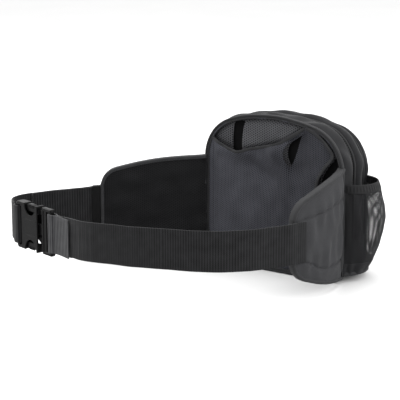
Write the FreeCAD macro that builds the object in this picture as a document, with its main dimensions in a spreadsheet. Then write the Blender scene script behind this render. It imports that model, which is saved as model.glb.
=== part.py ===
"""Waist pack: a zipped two-compartment pack body with padded hip wings, bottle pockets
and a webbing belt closed by a side-release buckle.

Frame, in millimetres: +Z up, -Y towards the wearer, +X to the right as seen from the
wearer's side. The origin is the centre of the flat base.
"""
import FreeCAD, Part
import math
import os

import Sketcher
from FreeCAD import Placement, Rotation, Vector

DOC = FreeCAD.newDocument("WaistPack")
NODES = []

SIZES = {
    # Pack body outline, seen from the wearer's side
    "HalfWidth": 103,
    "PackHeight": 203,
    "CornerLow": 22,
    "CornerHigh": 57,
    "CrownRadius": 230,
    # Depth stations, measured along Y
    "BackFace": -40,
    "ShellRear": -37,
    "MainZip": -8,
    "PocketZip": 23,
    "FrontFace": 38,
    # How far the outline draws in at each station
    "RearInset": 3,
    "ZipInset": 3,
    "PocketInset": 7,
    "FrontInset": 11,
    "RearDrop": 3,
    "ZipDrop": 3,
    "PocketDrop": 9,
    "FrontDrop": 15,
    "FrontLift": 2,
    "BaseSkim": 0.02,
    # Cloth walls
    "Wall": 1.8,
    "SeamGap": 0.3,
    "TapeWidth": 13,
    "CoilWidth": 6,
    "ArchFoot": 44,
    # Back panel layers
    "PipingSize": 5,
    "ApronSheet": 1.2,
    "StowGap": 4.8,
    "OpeningCut": 6,
    "MeshSheet": 2.5,
    "FoamSheet": 7,
    "LiningSheet": 0.8,
    "DividerStep": 3,
    # Bottle pockets
    "BottleRear": -34,
    "BottleFront": 33,
    "BottleBase": 8,
    "BottleTop": 125,
    "BottleBulge": 38,
    "BottleSheet": 1.2,
    "BottleSlack": 1.5,
    "BottleOverlap": 3,
    "BottleFoot": 5,
    "BandHeight": 10,
    # Hip wings
    "RightRootX": 101,
    "RightRootY": -45.5,
    "LeftRootX": -104.5,
    "LeftRootY": -46,
    "WingRootHalf": 68.5,
    "WingTipHalf": 24,
    "WingCorner": 24,
    "WingShell": 1.2,
    "WingFoam": 6,
    "WingBinding": 3,
    "RightWingLength": 102,
    "RightWingRise": 8,
    "RightWingHeading": -93,
    "RightWingZ": 76,
    "LeftWingLength": 133,
    "LeftWingRise": 4,
    "LeftWingHeading": 209,
    "LeftWingZ": 71,
    # Webbing
    "WebbingWidth": 50,
    "WebbingSheet": 1.5,
    "TailLength": 92,
    "KeeperLength": 9,
    "KeeperClear": 2,
    # Side-release buckle, along its own axis from the socket's mouth
    "BuckleHeading": -14,
    "BuckleX": -227.15,
    "BuckleY": -226.09,
    "BuckleZ": 60.5,
    "BuckleWidth": 61,
    "BuckleThick": 12,
    "BuckleWall": 2.2,
    "SocketLength": 46,
    "PlugLength": 27,
    "PlugThick": 7,
    "GuideLength": 28,
    "BarWidth": 5,
    "SlotWidth": 6,
    "ArmLength": 31,
    "ArmWidth": 7,
    "ArmThick": 6.4,
    "ArmEdge": 26.5,
    # Zip sliders
    "SliderPark": 166,
    "SliderLength": 11,
    "SliderWidth": 8,
    "SliderThick": 3,
    "PullLength": 24,
    "PullWidth": 7,
    "PullThick": 1.6,
}


def make_sheet():
    """Put every driving size into the document's spreadsheet."""
    sheet = DOC.addObject("Spreadsheet::Sheet", "Sizes")
    for row, (alias, number) in enumerate(SIZES.items(), start=1):
        sheet.set(f"A{row}", alias)
        sheet.set(f"B{row}", str(number))
        sheet.setAlias(f"B{row}", alias)
    DOC.recompute()
    return sheet


SHEET = make_sheet()


def value(expression):
    """The number that an expression over the sheet gives."""
    result = SHEET.evalExpression(expression)
    return float(getattr(result, "Value", result))


def bind(owner, prop, expression):
    """Bind a property to an expression over the sheet."""
    owner.setExpression(prop, expression)


def is_node(owner, label):
    """Name an object as a sub-part of the pack."""
    owner.Label = label
    NODES.append(owner)
    return owner


# ---------------------------------------------------------------- sketch helpers

def attach(body, sketch, role, offset="0"):
    plane = next(item for item in body.Origin.OriginFeatures if item.Role == role)
    sketch.AttachmentSupport = (plane, [""])
    sketch.MapMode = "FlatFace"
    bind(sketch, ".AttachmentOffset.Base.z", offset)


def body_sketch(body, name, role, offset="0"):
    sketch = body.newObject("Sketcher::SketchObject", name)
    attach(body, sketch, role, offset)
    return sketch


def lock(sketch, geometry, point, across, up):
    """Tie one point of a sketch to two expressions."""
    for kind, expression in (("DistanceX", across), ("DistanceY", up)):
        index = sketch.addConstraint(
            Sketcher.Constraint(kind, geometry, point, value(expression)))
        bind(sketch, f"Constraints[{index}]", expression)


def polygon(sketch, corners):
    """A closed chain of straight lines through corners given as expressions."""
    points = [Vector(value(across), value(up), 0) for across, up in corners]
    first = sketch.GeometryCount
    count = len(points)
    for index, point in enumerate(points):
        sketch.addGeometry(Part.LineSegment(point, points[(index + 1) % count]))
    for index, (across, up) in enumerate(corners):
        following = first + (index + 1) % count
        sketch.addConstraint(
            Sketcher.Constraint("Coincident", first + index, 2, following, 1))
        lock(sketch, first + index, 1, across, up)


def rectangle(sketch, left, low, right, high):
    polygon(sketch, [(left, low), (right, low), (right, high), (left, high)])


def circle(sketch, across, up, radius):
    centre = Vector(value(across), value(up), 0)
    index = sketch.addGeometry(Part.Circle(centre, Vector(0, 0, 1), value(radius)))
    lock(sketch, index, 3, across, up)
    size = sketch.addConstraint(Sketcher.Constraint("Radius", index, value(radius)))
    bind(sketch, f"Constraints[{size}]", radius)


def arc(centre, radius, start, end):
    round_edge = Part.Circle(centre, Vector(0, 0, 1), radius)
    return Part.ArcOfCircle(round_edge, math.radians(start), math.radians(end))


def pack_outline(sketch, inset, drop, lift):
    """The pack's outline: round low corners, larger high corners and a crowned top."""
    half = f"Sizes.HalfWidth - ({inset})"
    top = f"Sizes.PackHeight - ({drop})"
    low_round = f"Sizes.CornerLow - 0.5 * ({inset})"
    high_round = f"Sizes.CornerHigh - 0.5 * ({inset})"
    crown = f"Sizes.CrownRadius - ({drop})"
    w, z1, z0 = value(half), value(top), value(lift)
    r_low, r_high, r_crown = value(low_round), value(high_round), value(crown)
    reach = r_crown - r_high
    crown_z = z1 - r_crown
    corner_z = crown_z + math.sqrt(reach ** 2 - (w - r_high) ** 2)
    lean = math.degrees(math.asin((w - r_high) / reach))
    low_x, high_x = w - r_low, w - r_high
    first = sketch.GeometryCount
    sketch.addGeometry([
        Part.LineSegment(Vector(-low_x, z0, 0), Vector(low_x, z0, 0)),
        arc(Vector(low_x, z0 + r_low, 0), r_low, -90, 0),
        Part.LineSegment(Vector(w, z0 + r_low, 0), Vector(w, corner_z, 0)),
        arc(Vector(high_x, corner_z, 0), r_high, 0, 90 - lean),
        arc(Vector(0, crown_z, 0), r_crown, 90 - lean, 90 + lean),
        arc(Vector(-high_x, corner_z, 0), r_high, 90 + lean, 180),
        Part.LineSegment(Vector(-w, corner_z, 0), Vector(-w, z0 + r_low, 0)),
        arc(Vector(-low_x, z0 + r_low, 0), r_low, 180, 270),
    ])
    base, low_right, right, high_right, top_arc, high_left, left, low_left = range(first, first + 8)
    ring = [base, low_right, right, high_right, top_arc, high_left, left, low_left]
    for index, edge in enumerate(ring):
        sketch.addConstraint(
            Sketcher.Constraint("Tangent", edge, 2, ring[(index + 1) % 8], 1))
    sketch.addConstraint([
        Sketcher.Constraint("Horizontal", base),
        Sketcher.Constraint("Vertical", right),
        Sketcher.Constraint("Vertical", left),
        Sketcher.Constraint("Equal", low_right, low_left),
        Sketcher.Constraint("Equal", high_right, high_left),
        Sketcher.Constraint("PointOnObject", top_arc, 3, -2),
    ])
    driven = [
        (Sketcher.Constraint("Radius", low_right, r_low), low_round),
        (Sketcher.Constraint("Radius", high_right, r_high), high_round),
        (Sketcher.Constraint("Radius", top_arc, r_crown), crown),
        (Sketcher.Constraint("DistanceY", top_arc, 3, crown_z), f"{top} - ({crown})"),
        (Sketcher.Constraint("DistanceX", right, 1, w), half),
        (Sketcher.Constraint("DistanceX", left, 1, -w), f"-({half})"),
        (Sketcher.Constraint("DistanceY", base, 1, z0), lift),
    ]
    for constraint, expression in driven:
        index = sketch.addConstraint(constraint)
        bind(sketch, f"Constraints[{index}]", expression)


# --------------------------------------------------------------- feature helpers

def new_body(label):
    body = DOC.addObject("PartDesign::Body", label)
    return is_node(body, label)


def pad(body, sketch, length, backwards=False, centred=False):
    feature = body.newObject("PartDesign::Pad", sketch.Name + "Pad")
    feature.Profile = sketch
    bind(feature, "Length", length)
    feature.Reversed = backwards
    feature.Midplane = centred
    sketch.Visibility = False
    return feature


def pocket(body, sketch, length=None, backwards=False, centred=False):
    """Cut a sketch out of a body, and make sure that it took material away."""
    DOC.recompute()
    before = body.Shape.Volume
    feature = body.newObject("PartDesign::Pocket", sketch.Name + "Pocket")
    feature.Profile = sketch
    feature.Midplane = centred
    feature.Reversed = backwards
    if length is None:
        feature.Type = "ThroughAll"
    else:
        bind(feature, "Length", length)
    DOC.recompute()
    if body.Shape.Volume > before - 1e-3:
        raise RuntimeError(f"{feature.Name} cuts nothing")
    return feature


def box(name, low, high):
    """A trimming box between two corners given as expressions."""
    block = DOC.addObject("Part::Box", name)
    for axis, side, start, end in zip("xyz", ("Length", "Width", "Height"), low, high):
        bind(block, f".Placement.Base.{axis}", start)
        bind(block, side, f"({end}) - ({start})")
    return block


def boolean(kind, name, base, tool):
    feature = DOC.addObject(f"Part::{kind}", name)
    feature.Base = base
    feature.Tool = tool
    return feature


def mirrored(source, label):
    """The same sub-part on the other side of the pack."""
    feature = DOC.addObject("Part::Mirroring", label)
    feature.Source = source
    feature.Normal = Vector(1, 0, 0)
    return is_node(feature, label)


# -------------------------------------------------------------------- pack shell

STATIONS = [
    ("Sizes.ShellRear", "Sizes.RearInset", "Sizes.RearDrop", "0"),
    ("Sizes.MainZip", "Sizes.ZipInset", "Sizes.ZipDrop", "0"),
    ("Sizes.PocketZip", "Sizes.PocketInset", "Sizes.PocketDrop", "0"),
    ("Sizes.FrontFace", "Sizes.FrontInset", "Sizes.FrontDrop", "Sizes.FrontLift"),
]


def shell_loft(name, offset):
    """The pack's tapering form, drawn in all round by an offset."""
    loft = DOC.addObject("Part::Loft", name)
    sections = []
    for index, (depth, inset, drop, lift) in enumerate(STATIONS):
        sketch = DOC.addObject("Sketcher::SketchObject", f"{name}Section{index}")
        sketch.Placement = Placement(Vector(0, 0, 0), Rotation(Vector(1, 0, 0), 90))
        bind(sketch, ".Placement.Base.y", depth)
        pack_outline(sketch, f"{inset} + {offset}", f"{drop} + {offset}", f"{lift} + {offset}")
        sections.append(sketch)
    loft.Sections = sections
    loft.Solid = True
    loft.Ruled = True
    return loft


def make_shell_walls():
    """The gussets, zips and base: bands of one wall, parted at the seams."""
    outer = shell_loft("ShellOuter", "0")
    middle = shell_loft("ShellMiddle", "0.5 * Sizes.Wall")
    inner = shell_loft("ShellInner", "Sizes.Wall")
    wall = boolean("Cut", "WallSolid", outer, inner)
    tape = boolean("Cut", "TapeSolid", middle, inner)
    coil = boolean("Cut", "CoilSolid", outer, middle)

    wide = "Sizes.HalfWidth + 20"
    tall = "Sizes.PackHeight + 20"
    foot = "Sizes.ArchFoot"
    gap = "Sizes.SeamGap"
    half_tape = "0.5 * Sizes.TapeWidth"
    half_coil = "0.5 * Sizes.CoilWidth"
    main_low, main_high = f"Sizes.MainZip - {half_tape}", f"Sizes.MainZip + {half_tape}"
    side_low, side_high = f"Sizes.PocketZip - {half_tape}", f"Sizes.PocketZip + {half_tape}"
    bands = [
        ("rear_gusset", wall, "Sizes.ShellRear", f"{main_low} - {gap}", foot),
        ("main_zip_tape", tape, main_low, main_high, foot),
        ("main_zip_coil", coil, f"Sizes.MainZip - {half_coil}", f"Sizes.MainZip + {half_coil}", foot),
        ("middle_gusset", wall, f"{main_high} + {gap}", f"{side_low} - {gap}", foot),
        ("pocket_zip_tape", tape, side_low, side_high, foot),
        ("pocket_zip_coil", coil, f"Sizes.PocketZip - {half_coil}",
         f"Sizes.PocketZip + {half_coil}", foot),
        ("front_gusset", wall, f"{side_high} + {gap}", "Sizes.FrontFace - Sizes.Wall", foot),
    ]
    for label, solid, start, end, low in bands:
        cutter = box(f"{label}_trim", (f"-({wide})", start, low), (wide, end, tall))
        is_node(boolean("Common", label, solid, cutter), label)
    base_trim = box("bottom_panel_trim", (f"-({wide})", "Sizes.ShellRear", "Sizes.BaseSkim"),
                    (wide, "Sizes.FrontFace - Sizes.Wall", f"{foot} - {gap}"))
    is_node(boolean("Common", "bottom_panel", wall, base_trim), "bottom_panel")


# ------------------------------------------------------------------ flat panels

def make_panel(label, depth, thickness, inset, drop, lift):
    """A panel that fills the outline, from a depth towards the front."""
    body = new_body(label)
    sketch = body_sketch(body, f"{label}_outline", "XZ_Plane", f"-({depth})")
    pack_outline(sketch, inset, drop, lift)
    pad(body, sketch, thickness, backwards=True)
    return body


def make_ring(label, depth, thickness, inset, drop, lift, width):
    """A narrow band that follows the outline, such as a piping."""
    body = make_panel(label, depth, thickness, inset, drop, lift)
    hole = body_sketch(body, f"{label}_hole", "XZ_Plane", f"-({depth})")
    pack_outline(hole, f"{inset} + {width}", f"{drop} + {width}", f"{lift} + {width}")
    pocket(body, hole, thickness, backwards=False)
    return body


def make_back_panel():
    """From the wearer inwards: open apron, stow gap, spacer mesh, foam and lining."""
    rim = "Sizes.PipingSize + Sizes.SeamGap"
    make_ring("rear_piping", "Sizes.BackFace - 2.5", "Sizes.PipingSize", "0", "0", "0",
              "Sizes.PipingSize")
    apron = make_panel("back_apron", "Sizes.BackFace - 0.5 * Sizes.ApronSheet",
                       "Sizes.ApronSheet", rim, rim, rim)
    cut_apron_openings(apron)
    mesh_depth = "Sizes.BackFace + Sizes.StowGap + 0.5 * Sizes.ApronSheet"
    foam_depth = f"{mesh_depth} + Sizes.MeshSheet + Sizes.SeamGap"
    lining_depth = f"{foam_depth} + Sizes.FoamSheet + Sizes.SeamGap"
    layers = [
        ("back_mesh", mesh_depth, "Sizes.MeshSheet"),
        ("back_foam", foam_depth, "Sizes.FoamSheet"),
        ("back_lining", lining_depth, "Sizes.LiningSheet"),
    ]
    inside = "Sizes.RearInset + Sizes.Wall + Sizes.SeamGap"
    for label, depth, thickness in layers:
        make_panel(label, depth, thickness, inside, inside, inside)


# Hand openings at the two high corners of the apron, either side of its tongue
LEFT_OPENING = [(-91, 161), (-72, 154), (-57, 151), (-46, 155), (-43, 191), (-60, 189), (-80, 178)]
RIGHT_OPENING = [(16, 169), (17, 140), (28, 134), (60, 146), (82, 166), (76, 178), (51, 191)]


def cut_apron_openings(apron):
    for name, corners in (("left_opening", LEFT_OPENING), ("right_opening", RIGHT_OPENING)):
        sketch = body_sketch(apron, name, "XZ_Plane", "-(Sizes.BackFace - 0.5 * Sizes.OpeningCut)")
        polygon(sketch, [(str(across), str(up)) for across, up in corners])
        pocket(apron, sketch, "Sizes.OpeningCut", backwards=False)


def make_front():
    """The divider between the two compartments, the front panel and its piping."""
    inside = "Sizes.PocketInset + Sizes.Wall + Sizes.SeamGap"
    make_panel("divider_panel", "Sizes.PocketZip - 0.5 * Sizes.TapeWidth - Sizes.DividerStep", "Sizes.LiningSheet",
               inside, "Sizes.PocketDrop + Sizes.Wall + Sizes.SeamGap", "Sizes.Wall + Sizes.SeamGap")
    make_panel("front_panel", "Sizes.FrontFace - Sizes.Wall + Sizes.SeamGap", "Sizes.Wall",
               "Sizes.FrontInset + 1", "Sizes.FrontDrop + 1", "Sizes.FrontLift + 1")
    make_ring("front_piping", "Sizes.FrontFace + 2 * Sizes.SeamGap", "0.6 * Sizes.PipingSize",
              "Sizes.FrontInset", "Sizes.FrontDrop", "Sizes.FrontLift", "0.6 * Sizes.PipingSize")


# --------------------------------------------------------------- bottle pockets

POCKET_LEVELS = [(0.0, 0.36), (0.3, 0.8), (0.6, 1.0), (1.0, 0.7)]
BOTTLE_SIDE = "Sizes.HalfWidth - Sizes.RearInset + Sizes.SeamGap"
BOTTLE_SIDE_FRONT = "Sizes.HalfWidth - Sizes.FrontInset + 9 * Sizes.SeamGap"


def bottle_form(name, offset, deeper):
    """The bulging space of a bottle pocket: D-shaped sections from base to top.

    The form draws in by the offset, and its flat side lies deeper in the pack's wall.
    """
    side = f"{BOTTLE_SIDE} - {deeper}"
    side_front = f"{BOTTLE_SIDE_FRONT} - {deeper}"
    loft = DOC.addObject("Part::Loft", name)
    sections = []
    for index, (level, fullness) in enumerate(POCKET_LEVELS):
        sketch = DOC.addObject("Sketcher::SketchObject", f"{name}Section{index}")
        bind(sketch, ".Placement.Base.z",
             f"Sizes.BottleBase + {level} * (Sizes.BottleTop - Sizes.BottleBase)")
        rear = f"Sizes.BottleRear + {offset}"
        front = f"Sizes.BottleFront - {offset}"
        bulge = f"{fullness} * Sizes.BottleBulge + Sizes.BottleSlack + {deeper} - {offset}"
        half = f"(0.5 * sqrt(({front} - ({rear})) ^ 2 + ({side_front} - ({side})) ^ 2))"
        radius = f"({half} * {half} + ({bulge}) * ({bulge})) / (2 * ({bulge}))"
        fore = Vector(value(side_front), value(front), 0)
        aft = Vector(value(side), value(rear), 0)
        chord = fore - aft
        turn = math.degrees(math.atan2(-chord.x, chord.y))
        sweep = math.degrees(2 * math.atan2(value(bulge), chord.Length / 2))
        outwards = Vector(chord.y, -chord.x, 0) / chord.Length
        centre = (fore + aft) / 2 - outwards * value(radius) * math.cos(math.radians(sweep))
        sketch.addGeometry([
            Part.LineSegment(fore, aft),
            arc(centre, value(radius), turn - sweep, turn + sweep),
        ])
        sketch.addConstraint(Sketcher.Constraint("Coincident", 0, 2, 1, 1))
        sketch.addConstraint(Sketcher.Constraint("Coincident", 1, 2, 0, 1))
        lock(sketch, 0, 1, side_front, front)
        lock(sketch, 0, 2, side, rear)
        size = sketch.addConstraint(Sketcher.Constraint("Radius", 1, value(radius)))
        bind(sketch, f"Constraints[{size}]", radius)
        sections.append(sketch)
    loft.Sections = sections
    loft.Solid = True
    loft.Ruled = False
    return loft


def make_bottle_pockets():
    """A stretch mesh pocket on each side, with an elastic band round its mouth."""
    outer = bottle_form("BottleOuter", "0", "0")
    inner = bottle_form("BottleInner", "Sizes.BottleSheet", "Sizes.BottleOverlap")
    skin = boolean("Cut", "BottleSkin", outer, inner)
    split = "Sizes.BottleTop - Sizes.BandHeight"
    wide = "Sizes.HalfWidth + 60"
    parts = [
        ("bottle_pocket", "Sizes.BottleBase + Sizes.BottleFoot", split),
        ("pocket_band", f"{split} + Sizes.SeamGap", "Sizes.BottleTop"),
    ]
    for name, low, high in parts:
        trim = box(f"{name}_trim", (BOTTLE_SIDE_FRONT, "-60", low), (wide, "60", high))
        right = is_node(boolean("Common", f"right_{name}", skin, trim), f"right_{name}")
        mirrored(right, f"left_{name}")


# -------------------------------------------------------------------- hip wings
# A wing is drawn in its own frame: X from root to tip, Y outwards, Z up from its middle.

def layer_plan(body, name, length, rise, near, far):
    """Plan of a curved layer: two arcs about one centre, closed at root and tip."""
    sketch = body_sketch(body, name, "XY_Plane", "-Sizes.WingRootHalf - 5")
    chord, bow = value(length), value(rise)
    radius = (chord ** 2 / 4 + bow ** 2) / (2 * bow)
    centre = Vector(chord / 2, bow - radius, 0)
    sweep = math.degrees(math.asin(chord / 2 / radius))
    inner = arc(centre, radius + value(near), 90 - sweep, 90 + sweep)
    outer = arc(centre, radius + value(far), 90 - sweep, 90 + sweep)
    sketch.addGeometry([
        inner,
        Part.LineSegment(inner.EndPoint, outer.EndPoint),
        outer,
        Part.LineSegment(outer.StartPoint, inner.StartPoint),
    ])
    for first, first_end, second, second_end in ((0, 2, 1, 1), (1, 2, 2, 2), (2, 1, 3, 1), (3, 2, 0, 1)):
        sketch.addConstraint(
            Sketcher.Constraint("Coincident", first, first_end, second, second_end))
    size = f"({length} * {length} / 4 + {rise} * {rise}) / (2 * {rise})"
    lock(sketch, 0, 3, f"0.5 * {length}", f"{rise} - {size}")
    sketch.addConstraint(Sketcher.Constraint("Coincident", 0, 3, 2, 3))
    for geometry, offset in ((0, near), (2, far)):
        index = sketch.addConstraint(
            Sketcher.Constraint("Radius", geometry, radius + value(offset)))
        bind(sketch, f"Constraints[{index}]", f"{size} + {offset}")
    return sketch


def wing_profile(sketch, length, inset):
    """Side view of a wing: tall at the root, falling to a blunt tip with round corners."""
    root = f"Sizes.WingRootHalf - {inset}"
    tip_half = "Sizes.WingTipHalf"
    tip = f"{length} - {inset}"
    radius = f"Sizes.WingCorner - {inset}"
    r, x1, tall, short = value(radius), value(tip), value(root), value(tip_half)
    x0 = value(inset)
    away = Vector(x1 - r - x0, short - tall, 0)
    lean = math.atan2(away.y, away.x) + math.asin(r / away.Length)
    meets = Vector(x1 - r - r * math.sin(lean), short + r * math.cos(lean), 0)
    reach = math.degrees(math.atan2(meets.y - short, meets.x - (x1 - r)))
    first = sketch.GeometryCount
    sketch.addGeometry([
        Part.LineSegment(Vector(x0, -tall, 0), Vector(x0, tall, 0)),
        Part.LineSegment(Vector(x0, tall, 0), meets),
        arc(Vector(x1 - r, short, 0), r, 0, reach),
        Part.LineSegment(Vector(x1, short, 0), Vector(x1, -short, 0)),
        arc(Vector(x1 - r, -short, 0), r, -reach, 0),
        Part.LineSegment(Vector(meets.x, -meets.y, 0), Vector(x0, -tall, 0)),
    ])
    edge, high, high_round, end, low_round, low = range(first, first + 6)
    sketch.addConstraint(Sketcher.Constraint("Coincident", edge, 2, high, 1))
    sketch.addConstraint(Sketcher.Constraint("Coincident", low, 2, edge, 1))
    joins = (
        (high, 2, high_round, 2),
        (high_round, 1, end, 1),
        (end, 2, low_round, 2),
        (low_round, 1, low, 1),
    )
    for one, one_end, other, other_end in joins:
        sketch.addConstraint(Sketcher.Constraint("Tangent", one, one_end, other, other_end))
    lock(sketch, edge, 1, inset, f"-({root})")
    lock(sketch, edge, 2, inset, root)
    lock(sketch, end, 1, tip, tip_half)
    lock(sketch, end, 2, tip, f"-{tip_half}")
    for geometry in (high_round, low_round):
        index = sketch.addConstraint(Sketcher.Constraint("Radius", geometry, r))
        bind(sketch, f"Constraints[{index}]", radius)


def wing_layer(label, length, rise, near, far, inset):
    """One layer of a wing, trimmed to the side view drawn in by an inset."""
    body = new_body(label)
    plan = layer_plan(body, f"{label}_plan", length, rise, near, far)
    pad(body, plan, "2 * Sizes.WingRootHalf + 10")
    around = body_sketch(body, f"{label}_side", "XZ_Plane")
    rectangle(around, "-40", "-Sizes.WingRootHalf - 40", f"{length} + 40", "Sizes.WingRootHalf + 40")
    wing_profile(around, length, inset)
    pocket(body, around, "200", centred=True)
    return body


def make_wing(side, length, rise, placement):
    """A padded wing: lining, foam and outer cloth inside an edge binding."""
    half_foam = "0.5 * Sizes.WingFoam"
    skin = f"{half_foam} + Sizes.SeamGap"
    face = f"{skin} + Sizes.WingShell"
    inset = "(Sizes.WingBinding + Sizes.SeamGap)"
    layers = [
        ("lining", f"-({face})", f"-({skin})"),
        ("foam", f"-{half_foam}", half_foam),
        ("cover", skin, face),
    ]
    for name, near, far in layers:
        wing_layer(f"{side}_wing_{name}", length, rise, near, far, inset).Placement = placement
    binding = wing_layer(f"{side}_wing_binding", length, rise, f"-({face})", face, "0")
    hollow = body_sketch(binding, f"{side}_wing_binding_hole", "XZ_Plane")
    wing_profile(hollow, length, "Sizes.WingBinding")
    pocket(binding, hollow, "200", centred=True)
    binding.Placement = placement


def wing_root(side):
    return Vector(value(f"Sizes.{side}RootX"), value(f"Sizes.{side}RootY"), value(f"Sizes.{side}WingZ"))


def make_wings():
    upright = Vector(0, 0, 1)
    right = Placement(wing_root("Right"), Rotation(upright, value("Sizes.RightWingHeading")))
    make_wing("right", "Sizes.RightWingLength", "Sizes.RightWingRise", right)
    turned_over = Rotation(upright, value("Sizes.LeftWingHeading")) * Rotation(Vector(1, 0, 0), 180)
    left = Placement(wing_root("Left"), turned_over)
    make_wing("left", "Sizes.LeftWingLength", "Sizes.LeftWingRise", left)


# ---------------------------------------------------------------------- webbing
# The belt's plan is a chain of arcs, each given by its length and how far it turns.

RIGHT_RUNS = [(45, -24), (40, -30), (70, -13), (106, -9), (34, -16), (32, 0)]
LEFT_RUNS = [(100, 20), (43, 114)]
STEP_DEGREES = 4


def wing_tip(side):
    """Where the middle line of a wing ends, with a seam's gap."""
    angle = math.radians(value(f"Sizes.{side}WingHeading"))
    reach = value(f"Sizes.{side}WingLength") + 2 * value("Sizes.SeamGap")
    root = wing_root(side)
    return root.x + reach * math.cos(angle), root.y + reach * math.sin(angle)


def walk(start, heading, runs):
    """Points of a chain of arcs, as (x, y, heading in radians, length so far)."""
    x, y = start
    angle = math.radians(heading)
    travelled = 0.0
    points = [(x, y, angle, travelled)]
    for length, turn in runs:
        steps = max(4, math.ceil(abs(turn) / STEP_DEGREES))
        for _ in range(steps):
            half = math.radians(turn) / steps / 2
            angle += half
            x += length / steps * math.cos(angle)
            y += length / steps * math.sin(angle)
            angle += half
            travelled += length / steps
            points.append((x, y, angle, travelled))
    return points


def strap(label, points, start_z, end_z, offset=0.0, tall=None):
    """A flat strap that stands on edge along the points and changes height steadily."""
    width = value("Sizes.WebbingWidth") if tall is None else tall
    half = value("Sizes.WebbingSheet") / 2
    total = points[-1][3] - points[0][3]
    sections = []
    for x, y, angle, travelled in points:
        middle = start_z + (end_z - start_z) * (travelled - points[0][3]) / total
        normal = Vector(-math.sin(angle), math.cos(angle), 0)
        centre = Vector(x, y, middle) + normal * offset
        rise = Vector(0, 0, width / 2)
        across = normal * half
        low, high = centre - rise, centre + rise
        corners = [low - across, low + across, high + across, high - across]
        sections.append(Part.makePolygon(corners + corners[:1]))
    feature = DOC.addObject("Part::Feature", label)
    feature.Shape = Part.makeLoft(sections, True, True)
    return is_node(feature, label)


def make_straps():
    """Webbing from each wing to the buckle, the free tail and the keeper that holds it."""
    low = value("Sizes.BuckleZ")
    right = walk(wing_tip("Right"), value("Sizes.RightWingHeading") - 9, RIGHT_RUNS)
    strap("right_webbing", right, value("Sizes.RightWingZ"), low)
    left = walk(wing_tip("Left"), value("Sizes.LeftWingHeading") + 3, LEFT_RUNS)
    strap("left_webbing", left, value("Sizes.LeftWingZ"), low)

    fall = (value("Sizes.LeftWingZ") - low) / left[-1][3]
    spare = value("Sizes.WebbingSheet") + value("Sizes.SeamGap")
    tail = [point for point in left if point[3] < value("Sizes.TailLength")]
    tail_heights = [value("Sizes.LeftWingZ") - fall * tail[end][3] for end in (0, -1)]
    strap("webbing_tail", tail, *tail_heights, offset=spare)
    make_keeper(spare)


def make_keeper(spare):
    """An elastic loop round the belt and its tail, just past the left wing's tip."""
    body = new_body("webbing_keeper")
    loop = body_sketch(body, "keeper_plan", "YZ_Plane")
    wall = "Sizes.WebbingSheet"
    reach = f"(0.5 * Sizes.WebbingWidth + {wall} + 4 * Sizes.SeamGap)"
    inner = f"(0.5 * {wall} + 6 * Sizes.SeamGap)"
    outer = f"({spare} + {inner})"
    rectangle(loop, f"-{inner} - {wall}", f"-{reach}", f"{outer} + {wall}", reach)
    rectangle(loop, f"-{inner}", f"-({reach} - {wall})", outer, f"{reach} - {wall}")
    pad(body, loop, "Sizes.KeeperLength")
    heading = value("Sizes.LeftWingHeading") + 4
    angle = math.radians(heading)
    tip_x, tip_y = wing_tip("Left")
    clear = value("Sizes.KeeperClear")
    place = Vector(tip_x + clear * math.cos(angle), tip_y + clear * math.sin(angle),
                   value("Sizes.LeftWingZ"))
    body.Placement = Placement(place, Rotation(Vector(0, 0, 1), heading))


# ----------------------------------------------------------------------- buckle
# The buckle is drawn with X along its axis from the socket's mouth towards the plug's bar,
# Y across its width and Z through its thickness. Placed, its width stands upright.

def buckle_placement():
    across = Rotation(Vector(1, 0, 0), 90)
    heading = Rotation(Vector(0, 0, 1), value("Sizes.BuckleHeading"))
    place = Vector(value("Sizes.BuckleX"), value("Sizes.BuckleY"), value("Sizes.BuckleZ"))
    return Placement(place, heading * across)


def slab(body, name, left, low, right, high, thickness):
    """A rectangle padded equally to both sides of the buckle's middle plane."""
    sketch = body_sketch(body, name, "XY_Plane")
    rectangle(sketch, left, low, right, high)
    return pad(body, sketch, thickness, centred=True)


def slot(body, name, left, low, right, high, thickness):
    """A rectangle cut equally to both sides of the buckle's middle plane."""
    sketch = body_sketch(body, name, "XY_Plane")
    rectangle(sketch, left, low, right, high)
    return pocket(body, sketch, thickness, centred=True)


def make_socket():
    """The female half: a flat sleeve with side windows and a bar for the webbing."""
    body = new_body("buckle_socket")
    half = "0.5 * Sizes.BuckleWidth"
    slab(body, "socket_block", "-Sizes.SocketLength", f"-{half}", "0", half, "Sizes.BuckleThick")
    room = f"({half} - Sizes.BuckleWall)"
    inside = "Sizes.BuckleThick - 2 * Sizes.BuckleWall"
    bore_end = "-(Sizes.SocketLength - Sizes.BarWidth - Sizes.SlotWidth - Sizes.BuckleWall)"
    slot(body, "socket_bore", bore_end, f"-{room}", "1", room, inside)
    slot(body, "socket_slot", "-Sizes.SocketLength + Sizes.BarWidth", "-0.5 * Sizes.WebbingWidth - 1",
         "-Sizes.SocketLength + Sizes.BarWidth + Sizes.SlotWidth", "0.5 * Sizes.WebbingWidth + 1", "40")
    windows = (
        ("low", f"-{half} - 1", f"-{room} + 0.5"),
        ("high", f"{room} - 0.5", f"{half} + 1"),
    )
    for name, low, high in windows:
        slot(body, f"socket_window_{name}", f"{bore_end} + 0.5", low,
             "-Sizes.ArmLength + 14.5", high, inside)
    body.Placement = buckle_placement()


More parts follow.
